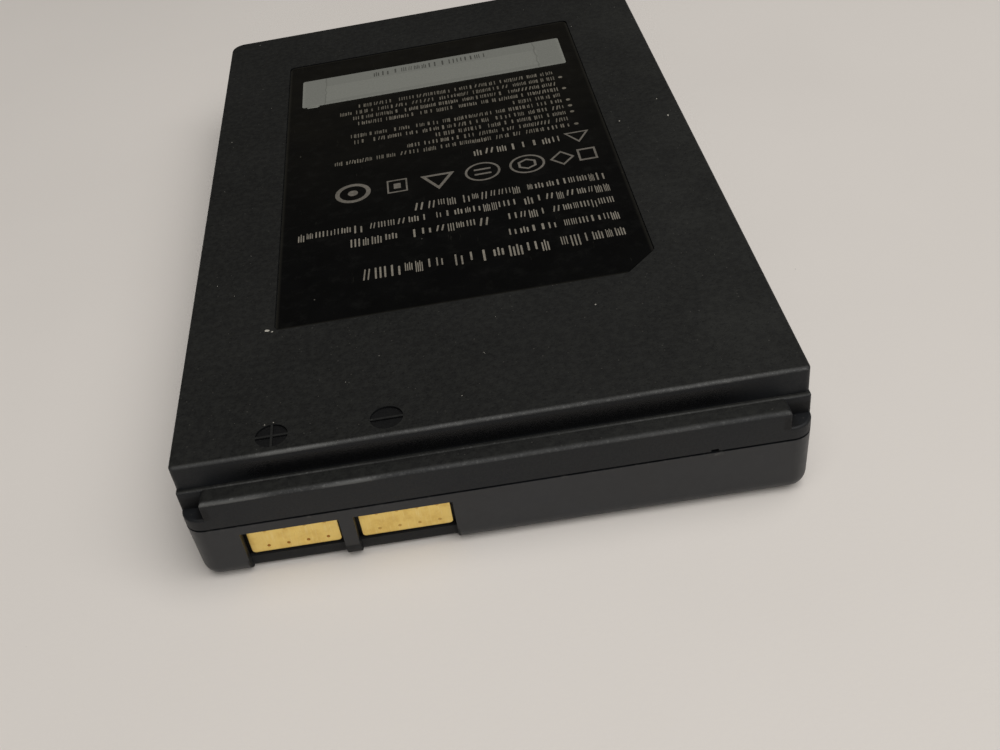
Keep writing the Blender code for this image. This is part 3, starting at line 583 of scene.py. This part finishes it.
def word_points(words, z):
    """A mesh with one point at the start of each word, which carries the word's length, height and count."""
    mesh = bpy.data.meshes.new("words")
    mesh.from_pydata([(start * MM, y * MM, z * MM) for start, _, y, _, _ in words], [], [])
    columns = {
        "run": ("FLOAT", [(start - end) * MM for start, end, _, _, _ in words]),
        "height": ("FLOAT", [height * MM for _, _, _, height, _ in words]),
        "letters": ("INT", [letters for _, _, _, _, letters in words]),
    }
    for name, (kind, values) in columns.items():
        mesh.attributes.new(name, kind, "POINT").data.foreach_set("value", values)
    return mesh


def fine_words():
    """The fine print's rows, broken into words of two to nine letters."""
    dice = random.Random(7)
    words = []
    for row, (end, _) in enumerate(FINE_ROWS):
        y = FINE_FIRST_Y + row * FINE_PITCH
        x = FINE_START_X
        while x - end > 2.2 * FINE_ADVANCE:
            letters = dice.randint(2, 9)
            letters = min(letters, max(2, int((x - end) / FINE_ADVANCE)))
            stop = x - letters * FINE_ADVANCE
            words.append((x, stop, y, FINE_HEIGHT, letters))
            x = stop - WORD_GAP
    return words


def dash_forms(tree, thickness):
    """Plain forms in a cell one unit wide and high: one to four upright strokes, or two slanted ones."""
    # Each stroke is (middle, width, height), and may end in its slant in degrees.
    layouts = (
        ((0.12, 0.19, 1.0), (0.84, 0.19, 1.0)),
        ((0.5, 0.24, 1.0),),
        ((0.1, 0.16, 1.0), (0.5, 0.16, 1.0), (0.9, 0.16, 1.0)),
        ((0.08, 0.14, 1.0), (0.36, 0.14, 0.84), (0.64, 0.14, 1.0), (0.92, 0.14, 0.84)),
        ((0.24, 0.17, 1.0, -12), (0.76, 0.17, 1.0, -12)),
        ((0.14, 0.19, 1.0), (0.8, 0.19, 0.8)),
        ((0.14, 0.19, 0.8), (0.5, 0.16, 1.0), (0.86, 0.19, 0.8)),
    )
    forms = add(tree, "GeometryNodeJoinGeometry")
    for layout in layouts:
        strokes = add(tree, "GeometryNodeJoinGeometry")
        for x, wide, high, *slant in layout:
            quad = give(tree, "GeometryNodeCurvePrimitiveQuadrilateral", {"Width": wide, "Height": high})
            soft = give(tree, "GeometryNodeFilletCurve", {"Curve": quad, "Radius": 0.05, "Count": 2},
                        mode="POLY")
            flat = give(tree, "GeometryNodeFillCurve", {"Curve": soft})
            thick = give(tree, "GeometryNodeExtrudeMesh",
                         {"Mesh": flat, "Offset Scale": thickness, "Individual": False})
            moved = give(tree, "GeometryNodeTransform", {
                "Geometry": thick, "Translation": (x - 0.5, high / 2 - 0.5, 0.0),
                "Rotation": (0.0, 0.0, math.radians(sum(slant))),
            })
            tree.links.new(moved.socket, strokes.inputs[0])
        form = add(tree, "GeometryNodeGeometryToInstance", {"Geometry": Value(strokes.outputs[0])})
        tree.links.new(form.outputs[0], forms.inputs[0])
    return Value(forms.outputs[0])


def word_tree():
    """Rows of print: each point becomes a word of dash-like cells of uneven width, set side by side."""
    tree, given = start_tree("rows_of_print", (
        ("Ink Share", "Float", 0.68),
        ("Width Spread", "Float", 0.35),
        ("Tall Share", "Float", 0.3),
        ("Short Height", "Float", 0.74),
        ("Thickness", "Float", 0.02 * MM),
        ("Seed", "Int", 3),
    ))

    def attribute(name, kind="FLOAT"):
        return give(tree, "GeometryNodeInputNamedAttribute", {"Name": name}, data_type=kind)

    numbered = stored(given["Geometry"], "word", give(tree, "GeometryNodeInputIndex"), "INT")
    letters = give(tree, "GeometryNodeDuplicateElements",
                   {"Geometry": numbered, "Amount": attribute("letters", "INT")}, domain="POINT")

    spread = given["Width Spread"]
    weight = give(tree, "FunctionNodeRandomValue",
                  {2: 1.0 - spread, 3: spread + 1.0, "Seed": given["Seed"]}, 1, data_type="FLOAT")
    running = add(tree, "GeometryNodeAccumulateField", {"Value": weight, "Group ID": attribute("word", "INT")},
                  data_type="FLOAT", domain="POINT").outputs
    scale = attribute("run") / Value(running["Total"])
    along = (Value(running["Leading"]) - weight * 0.5) * scale * -1.0

    tall = give(tree, "FunctionNodeRandomValue",
                {"Probability": given["Tall Share"], "Seed": given["Seed"] + 11.0}, 3, data_type="BOOLEAN")
    share = give(tree, "GeometryNodeSwitch", {"Switch": tall, "False": given["Short Height"], "True": 1.0},
                 input_type="FLOAT")
    high = attribute("height") * share
    kept = stored(letters, "cell_height", high, "FLOAT")
    kept = stored(kept, "cell_width", weight * scale * given["Ink Share"], "FLOAT")
    offset = combined(tree, along, high * -0.5)
    placed = give(tree, "GeometryNodeSetPosition", {"Geometry": kept, "Offset": offset})

    form = give(tree, "FunctionNodeRandomValue", {4: 0, 5: 6, "Seed": given["Seed"]}, 2, data_type="INT")
    cells = give(tree, "GeometryNodeInstanceOnPoints", {
        "Points": placed, "Instance": dash_forms(tree, given["Thickness"]), "Pick Instance": True,
        "Instance Index": form, "Scale": combined(tree, attribute("cell_width"), attribute("cell_height"), 1.0),
    })
    return close_tree(tree, given, cells)


def flat_ring(shape, outer, inner, z, thickness):
    """Adds a flat closed frame between two outlines with equally many points."""
    loops = [[shape.verts.new((x, y, level)) for x, y in outline]
             for outline, level in ((outer, z + thickness), (inner, z + thickness), (inner, z), (outer, z))]
    for first, second in zip(loops, loops[1:] + loops[:1]):
        for index in range(len(outer)):
            shape.faces.new((first[index - 1], first[index], second[index], second[index - 1]))


def flat_plate(shape, outline, z, thickness):
    """Adds a flat closed plate with the given outline."""
    low, high = [[shape.verts.new((x, y, level)) for x, y in outline] for level in (z, z + thickness)]
    shape.faces.new(low[::-1])
    shape.faces.new(high)
    for index in range(len(outline)):
        shape.faces.new((low[index - 1], low[index], high[index], high[index - 1]))


def taken_mesh(shape, name):
    """The finished shape as a plain mesh in metres whose faces all look outwards."""
    bmesh.ops.recalc_face_normals(shape, faces=shape.faces)
    bmesh.ops.scale(shape, vec=(MM, MM, MM), verts=shape.verts)
    mesh = bpy.data.meshes.new(name)
    shape.to_mesh(mesh)
    shape.free()
    return mesh


def polygon(centre, radius, sides, turn=0.0, squash=1.0):
    """Points of a regular polygon with one corner towards -Y turned by turn."""
    angles = [turn - math.pi / 2 + 2 * math.pi * index / sides for index in range(sides)]
    return [(centre[0] + radius * math.cos(angle), centre[1] + radius * squash * math.sin(angle))
            for angle in angles]


def build_symbols(z, thickness):
    """A row of plain shapes where a label carries its marks: frames, rings, a triangle and bars."""
    shape = bmesh.new()
    quarter = math.radians(45)

    def frame_of(x, radius, width, sides, turn=0.0, squash=1.0, y=SYMBOL_Y):
        flat_ring(shape, polygon((x, y), radius, sides, turn, squash),
                  polygon((x, y), radius - width, sides, turn, squash), z, thickness)

    def bar(x, rise, wide, high):
        corners = ((-wide / 2, -high / 2), (wide / 2, -high / 2), (wide / 2, high / 2), (-wide / 2, high / 2))
        flat_plate(shape, [(x + cx, SYMBOL_Y + rise + cy) for cx, cy in corners], z, thickness)

    frame_of(21.6, 2.0, 0.45, 4, quarter, 1.25)
    frame_of(17.75, 1.9, 0.45, 4, 0.0, 1.15)
    frame_of(12.35, 2.75, 0.36, 40)
    frame_of(12.35, 1.6, 0.42, 6)
    frame_of(5.45, 2.75, 0.36, 40)
    bar(5.45, -0.7, 2.6, 0.42)
    bar(5.45, 0.7, 2.6, 0.42)
    frame_of(-1.5, 3.1, 1.0, 3)
    frame_of(-7.85, 2.25, 0.36, 4, quarter, 1.2)
    bar(-7.85, 0.0, 1.1, 1.5)
    frame_of(-14.8, 2.8, 0.7, 40)
    flat_plate(shape, polygon((-14.8, SYMBOL_Y), 0.8, 24), z, thickness)
    frame_of(21.05, 2.3, 0.6, 3, y=HEADING_SYMBOL_Y)
    return taken_mesh(shape, "label_symbols")


def build_bullets(z, thickness):
    """The round bullets before the fine print's paragraphs."""
    shape = bmesh.new()
    for row, (_, bullet) in enumerate(FINE_ROWS):
        if bullet:
            place = (BULLET_X, FINE_FIRST_Y + row * FINE_PITCH - FINE_HEIGHT / 2)
            flat_plate(shape, polygon(place, BULLET_RADIUS, 12), z, thickness)
    return taken_mesh(shape, "label_bullets")


def build_strip_tag(thickness):
    """The tip of a release film that stands out from under the strip's corner."""
    shape = bmesh.new()
    x, y = STRIP_LOW.x + 2.0, STRIP_LOW.y
    outline = ((-1.2, 0.4), (-1.1, -0.3), (0.7, -0.42), (1.1, -0.1), (1.05, 0.4))
    flat_plate(shape, [(x + dx, y + dy) for dx, dy in outline], LABEL_HIGH.z, thickness)
    return taken_mesh(shape, "strip_tag")


def build_flecks(thickness):
    """Chips of dried paint and dust that are large enough to see: thin plates with uneven outlines."""
    dice = random.Random(21)
    shape = bmesh.new()
    for x, y, radius, squash in FLECKS:
        outline = []
        for px, py in polygon((x, y), radius, 9, dice.uniform(0.0, math.pi), squash):
            reach = dice.uniform(0.55, 1.0)
            outline.append((x + (px - x) * reach, y + (py - y) * reach))
        flat_plate(shape, outline, TOP_Z, thickness)
    return taken_mesh(shape, "dust_flecks")


# ------------------------ contacts, dust and lint

def hole_tree():
    """Plated holes: a grid of points over a plate, each carrying a small filled and slightly dished hole."""
    tree, given = start_tree("plated_holes", (
        ("Radius", "Float", 0.19 * MM),
        ("Depth", "Float", 0.05 * MM),
    ))
    rim = give(tree, "GeometryNodeMeshCone", {
        "Vertices": 14, "Side Segments": 2, "Fill Segments": 1, "Radius Top": given["Radius"] * 0.7,
        "Radius Bottom": given["Radius"], "Depth": given["Depth"],
    }, fill_type="NGON")
    upright = give(tree, "GeometryNodeTransform",
                   {"Geometry": rim, "Rotation": (math.radians(90), 0.0, 0.0)})
    holes = give(tree, "GeometryNodeInstanceOnPoints", {"Points": given["Geometry"], "Instance": upright})
    return close_tree(tree, given, holes)


def hole_points(low, high):
    """Points of the two rows of holes on one contact plate."""
    middle = (low.x + high.x) / 2
    return [Vector((middle + (column - 1.5) * HOLE_PITCH + HOLE_SHIFT, low.y + 0.012, z)) * MM
            for z in (low.z + 0.95, high.z - 0.95) for column in range(4)]


def scatter_tree():
    """Dust: points spread over a sheet, each carrying a small flattened grain of its own size and turn."""
    tree, given = start_tree("scattered_grains", (
        ("Density", "Float", 9000.0),
        ("Least Size", "Float", 0.05 * MM),
        ("Greatest Size", "Float", 0.14 * MM),
        ("Flatness", "Float", 0.4),
        ("Length", "Float", 1.0),
        ("Seed", "Int", 5),
    ))

    def chance(most):
        return give(tree, "FunctionNodeRandomValue", {2: 0.0, 3: most, "Seed": given["Seed"]}, 1,
                    data_type="FLOAT")

    spread = give(tree, "GeometryNodeDistributePointsOnFaces",
                  {"Mesh": given["Geometry"], "Density": given["Density"], "Seed": given["Seed"]}, "Points",
                  distribute_method="RANDOM")
    grain = give(tree, "GeometryNodeMeshIcoSphere", {"Radius": 1.0, "Subdivisions": 1})
    rare = maths("POWER", chance(1.0), 3.0)
    radius = given["Least Size"] + rare * (given["Greatest Size"] - given["Least Size"])
    grains = give(tree, "GeometryNodeInstanceOnPoints", {
        "Points": spread, "Instance": grain,
        "Scale": combined(tree, radius * given["Length"], radius, radius * given["Flatness"]),
        "Rotation": combined(tree, z=chance(2 * math.pi)),
    })
    return close_tree(tree, given, grains)


def sheet_mesh(name, rectangles):
    """A mesh of flat rectangles (x0, x1, y0, y1, z), on which dust is spread."""
    corners, faces = [], []
    for x0, x1, y0, y1, z in rectangles:
        start = len(corners)
        corners += [Vector(corner) * MM for corner in ((x0, y0, z), (x1, y0, z), (x1, y1, z), (x0, y1, z))]
        faces.append((start, start + 1, start + 2, start + 3))
    mesh = bpy.data.meshes.new(name)
    mesh.from_pydata(corners, [], faces)
    return mesh


def top_sheets():
    """The cover's top face around the label, as rectangles a little below the surface."""
    edge = 0.8
    x0, x1 = -SIDE_X + edge, SIDE_X - edge
    y0, y1 = BLOCK_Y + edge, COVER_HIGH.y - edge
    gap = 0.4
    left, right = LABEL_LOW.x - gap, LABEL_HIGH.x + gap
    near, far = LABEL_LOW.y - gap, LABEL_HIGH.y + gap
    z = TOP_Z - 0.01
    return [(x0, x1, y0, near, z), (x0, x1, far, y1, z), (x0, left, near, far, z), (right, x1, near, far, z)]


# ------------------------ settings

def colour_setting(name, description, code):
    """A colour in the panel, with a hex colour to start from."""
    return bpy.props.FloatVectorProperty(name=name, description=description, subtype="COLOR", size=4, min=0.0,
                                         max=1.0, default=linear(code))


def number_setting(name, description, default, low, high, unit="NONE"):
    """A number in the panel."""
    return bpy.props.FloatProperty(name=name, description=description, default=default, min=low, max=high,
                                   unit=unit)


class CaseSettings(bpy.types.PropertyGroup):
    cover_colour: colour_setting("Cover colour", "Colour of the cover's textured top", "131312")
    wall_colour: colour_setting("Wall colour", "Colour of the smooth walls, rail and tray", "15171a")
    grain: number_setting("Grain size", "Size of the mould texture's grains", 0.36 * MM, 0.05 * MM, 2 * MM,
                          "LENGTH")
    grain_depth: number_setting("Grain depth", "Height of the mould texture", 0.035 * MM, 0.0, 0.2 * MM,
                                "LENGTH")


class LabelSettings(bpy.types.PropertyGroup):
    film_colour: colour_setting("Film colour", "Colour of the label near the contact end", "020202")
    film_back_colour: colour_setting("Film back colour", "Colour of the label near the far end", "100e09")
    ink_colour: colour_setting("Ink colour", "Colour of the large printed rows", "8f897d")
    symbol_ink_colour: colour_setting("Symbol ink colour", "Colour of the row of symbols", "77726a")
    fine_ink_colour: colour_setting("Fine ink colour", "Colour of the thinner fine print", "7c766a")
    strip_colour: colour_setting("Strip colour", "Colour of the serial strip", "90918a")
    ink_height: number_setting("Ink height", "Thickness of the printed ink", 0.02 * MM, 0.005 * MM, 0.1 * MM,
                               "LENGTH")


class ContactSettings(bpy.types.PropertyGroup):
    gold_colour: colour_setting("Gold colour", "Colour of the gold plate", "f7d984")
    hole_radius: number_setting("Hole radius", "Radius of a filled plated hole", 0.24 * MM, 0.05 * MM, 0.5 * MM,
                                "LENGTH")


class DustSettings(bpy.types.PropertyGroup):
    dust_colour: colour_setting("Dust colour", "Colour of dust and lint", "a8a49a")
    dust_density: number_setting("Dust density", "Grains of dust on a square metre", 9000.0, 0.0, 200000.0)
    lint_density: number_setting("Lint density", "Fibres of lint on a square metre", 1500.0, 0.0, 50000.0)


class StageSettings(bpy.types.PropertyGroup):
    floor_colour: colour_setting("Floor colour", "Colour of the floor", "e6e0da")
    floor_shade: colour_setting("Floor shade", "Second colour of the floor", "e0dad4")
    floor_size: number_setting("Floor size", "Length of the floor's side", 3.0, 0.5, 20.0, "LENGTH")
    key_power: number_setting("Key power", "Power of the large soft light", 14.5, 0.0, 1000.0, "POWER")
    sky_strength: number_setting("Sky strength", "Strength of the even light from all round", 0.06, 0.0, 10.0)


# ------------------------ operators

class BATTERY_OT_finish_case(bpy.types.Operator):
    """Give the cover and the tray their moulded plastics"""
    bl_idname = "battery.finish_case"
    bl_label = "Finish the case"

    def execute(self, context):
        settings = context.scene.battery_case
        finish_node("upper_shell", cover_plastic(settings))
        finish_node("lower_shell", tray_plastic(settings))
        return {"FINISHED"}


class BATTERY_OT_finish_label(bpy.types.Operator):
    """Give the label and the serial strip their films, and print rows, symbols and bullets on them"""
    bl_idname = "battery.finish_label"
    bl_label = "Finish and print the label"

    def execute(self, context):
        settings = context.scene.battery_label
        finish_node("label", label_film(settings))
        finish_node("serial_strip", strip_film(settings))
        thickness = settings.ink_height / MM
        label_ink = ink("screen_ink_pale", settings.ink_colour, "5d584f")
        fine_ink = ink("screen_ink_thin", settings.fine_ink_colour, "3b382f")
        strip_ink = ink("thermal_ink_dark", linear("3a3a36"), "5c5c56")
        symbol_ink = ink("screen_ink_worn", settings.symbol_ink_colour, "4b473f")
        tree = word_tree()
        top = LABEL_HIGH.z
        # Name, words, ink, level, seed, share of a cell that is inked, and height of the shorter cells.
        runs = (
            ("label_print_head", HEAD_WORDS, label_ink, top, 4, 0.72, 0.74),
            ("label_print_rows", ROW_WORDS, label_ink, top, 9, 0.76, 0.74),
            ("label_print_heading", HEADING_WORD, label_ink, top, 2, 0.78, 0.9),
            ("label_print_fine", fine_words(), fine_ink, top, 6, 1.0, 0.9),
            ("strip_print", STRIP_WORDS, strip_ink, STRIP_HIGH.z, 8, 0.72, 0.9),
        )
        for name, words, material, z, seed, share, short in runs:
            values = {"Material": material, "Seed": seed, "Ink Share": share, "Thickness": settings.ink_height,
                      "Short Height": short}
            add_piece(name, run_tree(name, word_points(words, z), tree, values))
        add_piece("label_symbols", build_symbols(top, thickness), symbol_ink)
        add_piece("label_bullets", build_bullets(top, thickness), fine_ink)
        tag = plain_body("polyester_release_film", linear("83847d"), 0.35, 0.3, 0.02)
        add_piece("strip_tag", build_strip_tag(0.03), tag)
        return {"FINISHED"}


class BATTERY_OT_finish_contacts(bpy.types.Operator):
    """Plate the two contacts and set their filled holes"""
    bl_idname = "battery.finish_contacts"
    bl_label = "Finish the contacts"

    def execute(self, context):
        settings = context.scene.battery_contacts
        gold = contact_gold(settings)
        finish_node("contact_positive", gold)
        finish_node("contact_negative", gold)
        points = hole_points(PLUS_LOW, PLUS_HIGH) + hole_points(MINUS_LOW, MINUS_HIGH)
        base = bpy.data.meshes.new("holes")
        base.from_pydata(points, [], [])
        values = {"Material": hole_filler(), "Radius": settings.hole_radius}
        mesh = run_tree("contact_holes", base, hole_tree(), values)
        add_piece("contact_holes", mesh)
        return {"FINISHED"}


# Materials of the inner pieces, as (hex colour, roughness, grain size in millimetres).
METALS = {
    "rolled_nickel": ("c9c4ba", 0.30, 0.2),
    "rolled_aluminium": ("d9dadb", 0.34, 0.2),
    "tinned_copper": ("cfcbc2", 0.32, 0.15),
    "pouch_laminate_satin": ("cfd0d2", 0.42, 0.4),
}
# As above, then the grain's height in millimetres, and the index of refraction if it isn't 1.5.
BODIES = {
    "black_solder_mask": ("0d0d0d", 0.45, 0.3, 0.01),
    "moulded_epoxy": ("1c1c1d", 0.45, 0.15, 0.01),
    "resistor_glaze": ("222224", 0.30, 0.3, 0.005),
    "fired_ceramic_tan": ("b08a60", 0.40, 0.1, 0.01),
    "fired_ceramic_white": ("dedcd4", 0.40, 0.1, 0.01),
    "coated_electrode_foil": ("39393a", 0.60, 0.1, 0.02),
    "polypropylene_seal": ("efede4", 0.40, 0.3, 0.01, 1.49),
    "acrylic_foam_tape": ("dcdbd2", 0.65, 0.25, 0.03),
    "open_cell_foam": ("1d1d1d", 0.90, 0.35, 0.12),
    "vulcanised_fibre_paper": ("6d7860", 0.75, 0.3, 0.02),
    "epoxy_bead": ("202022", 0.30, 0.4, 0.01),
}
# The first of these that a piece's name holds gives its material.
INNER_PIECES = {
    "board": "black_solder_mask", "solder_plate": "rolled_nickel", "mosfet": "moulded_epoxy",
    "protection_chip": "moulded_epoxy", "sense_resistor": "resistor_glaze", "resistor": "resistor_glaze",
    "fuse": "fired_ceramic_white", "capacitor": "fired_ceramic_tan", "power_link": "tinned_copper",
    "thermistor_leads": "tinned_copper", "thermistor": "epoxy_bead", "pouch": "pouch_laminate_satin",
    "electrode_stack": "coated_electrode_foil", "tab_seal": "polypropylene_seal",
    "tab_positive": "rolled_aluminium", "tab_negative": "rolled_nickel", "tape": "acrylic_foam_tape",
    "foam_pad": "open_cell_foam", "insulation_sheet": "vulcanised_fibre_paper",
}
OUTER_PIECES = {"upper_shell", "lower_shell", "label", "serial_strip", "contact_positive", "contact_negative"}


class BATTERY_OT_finish_inside(bpy.types.Operator):
    """Give the boards, components, cells and packing their materials"""
    bl_idname = "battery.finish_inside"
    bl_label = "Finish the inside"

    def execute(self, context):
        made = {}
        for name, (code, rough, grain) in METALS.items():
            made[name] = plain_metal(name, code, rough, grain)
        for name, (code, rough, grain, depth, *ior) in BODIES.items():
            made[name] = plain_body(name, linear(code), rough, grain, depth, *ior)
        for name in sorted(set(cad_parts) - OUTER_PIECES):
            found = [finish for key, finish in INNER_PIECES.items() if key in name]
            if not found:
                raise RuntimeError(f"no material is named for {name}")
            finish_node(name, made[found[0]])
        return {"FINISHED"}


class BATTERY_OT_scatter_dust(bpy.types.Operator):
    """Scatter grains of dust and fibres of lint on the top face"""
    bl_idname = "battery.scatter_dust"
    bl_label = "Scatter dust"

    def execute(self, context):
        settings = context.scene.battery_dust
        dust = plain_body("dry_house_dust", settings.dust_colour, 0.9, 0.1, 0.02)
        tree = scatter_tree()
        kinds = {
            "dust_grains": {"Density": settings.dust_density, "Greatest Size": 0.10 * MM, "Seed": 5},
            "lint_fibres": {"Density": settings.lint_density, "Greatest Size": 0.05 * MM, "Length": 9.0,
                            "Seed": 12},
        }
        for name, values in kinds.items():
            values.update({"Least Size": 0.03 * MM, "Material": dust})
            mesh = run_tree(name, sheet_mesh(name + "_sheet", top_sheets()), tree, values)
            add_piece(name, mesh)
        add_piece("dust_flecks", build_flecks(0.02), dust)
        return {"FINISHED"}


class BATTERY_OT_set_stage(bpy.types.Operator):
    """Lay the floor, hang the lights and place the camera"""
    bl_idname = "battery.set_stage"
    bl_label = "Set the stage"

    def execute(self, context):
        settings = context.scene.battery_stage
        scene = context.scene
        half = settings.floor_size / 2 / MM
        floor_mesh = sheet_mesh("floor", [(-half, half, -half, half, 0.0)])
        floor_mesh.materials.append(stage_surface(settings))
        floor = bpy.data.objects.new("floor", floor_mesh)
        scene.collection.objects.link(floor)

        def area(name, place, size, power):
            lamp = bpy.data.lights.new(name, "AREA")
            lamp.shape = "RECTANGLE"
            lamp.size, lamp.size_y = size
            lamp.energy = power
            lamp.color = linear("fffefc")[:3]
            holder = bpy.data.objects.new(name, lamp)
            holder.location = place
            holder.rotation_euler = (-Vector(place)).to_track_quat("-Z", "Y").to_euler()
            scene.collection.objects.link(holder)

        area("key", (0.34, -0.35, 1.1), (1.4, 1.4), settings.key_power)
        area("fill", (0.1, -1.1, 0.75), (1.0, 0.7), settings.key_power * FILL_SHARE)

        # The room lights the pack only faintly, and looks pale where it shows past the floor.
        world = bpy.data.worlds.new("even_room")
        scene.world = world
        world.use_nodes = True
        tree = world.node_tree
        faint = tree.nodes["Background"]
        faint.inputs["Color"].default_value = linear("f1eee8")
        faint.inputs["Strength"].default_value = settings.sky_strength
        pale = give(tree, "ShaderNodeBackground", {"Color": linear("bab5ad")})
        seen = give(tree, "ShaderNodeLightPath", output="Is Camera Ray")
        both = give(tree, "ShaderNodeMixShader", {0: seen, 1: Value(faint.outputs[0]), 2: pale})
        tree.links.new(both.socket, tree.nodes["World Output"].inputs["Surface"])

        lens = bpy.data.cameras.new("camera")
        lens.lens, lens.sensor_width = 42.037, 36.0
        lens.shift_x, lens.shift_y = 0.07432, 0.03138
        lens.clip_start = 0.005
        camera = bpy.data.objects.new("camera", lens)
        camera.location = (0.00072, -0.16179, 0.1071)
        camera.rotation_euler = Euler([math.radians(angle) for angle in (49.205, 8.875, -3.579)])
        scene.collection.objects.link(camera)
        scene.camera = camera
        scene.view_settings.view_transform = "Standard"
        return {"FINISHED"}


class BATTERY_PT_finish(bpy.types.Panel):
    """Lists the steps that finish the pack and set its stage"""
    bl_idname = "BATTERY_PT_finish"
    bl_label = "Battery pack finish"
    bl_space_type = "VIEW_3D"
    bl_region_type = "UI"
    bl_category = "Battery"

    def draw(self, context):
        for title, settings, step in GROUPS:
            box = self.layout.box()
            box.label(text=title)
            if settings:
                group = getattr(context.scene, settings)
                for key in group.bl_rna.properties.keys():
                    if key not in ("rna_type", "name"):
                        box.prop(group, key)
            box.operator(step.bl_idname)


GROUPS = (
    ("Stage", "battery_stage", BATTERY_OT_set_stage),
    ("Case", "battery_case", BATTERY_OT_finish_case),
    ("Label", "battery_label", BATTERY_OT_finish_label),
    ("Contacts", "battery_contacts", BATTERY_OT_finish_contacts),
    ("Inside", "", BATTERY_OT_finish_inside),
    ("Dust", "battery_dust", BATTERY_OT_scatter_dust),
)
SETTINGS = {
    "battery_case": CaseSettings,
    "battery_label": LabelSettings,
    "battery_contacts": ContactSettings,
    "battery_dust": DustSettings,
    "battery_stage": StageSettings,
}


def register():
    for group in SETTINGS.values():
        bpy.utils.register_class(group)
    for name, group in SETTINGS.items():
        setattr(bpy.types.Scene, name, bpy.props.PointerProperty(type=group))
    for _, _, step in GROUPS:
        bpy.utils.register_class(step)
    bpy.utils.register_class(BATTERY_PT_finish)


def unregister():
    bpy.utils.unregister_class(BATTERY_PT_finish)
    for _, _, step in reversed(GROUPS):
        bpy.utils.unregister_class(step)
    for name, group in SETTINGS.items():
        delattr(bpy.types.Scene, name)
        bpy.utils.unregister_class(group)


def main():
    register()
    for _, _, step in GROUPS:
        family, name = step.bl_idname.split(".")
        getattr(getattr(bpy.ops, family), name)()


if __name__ == "__main__":
    main()
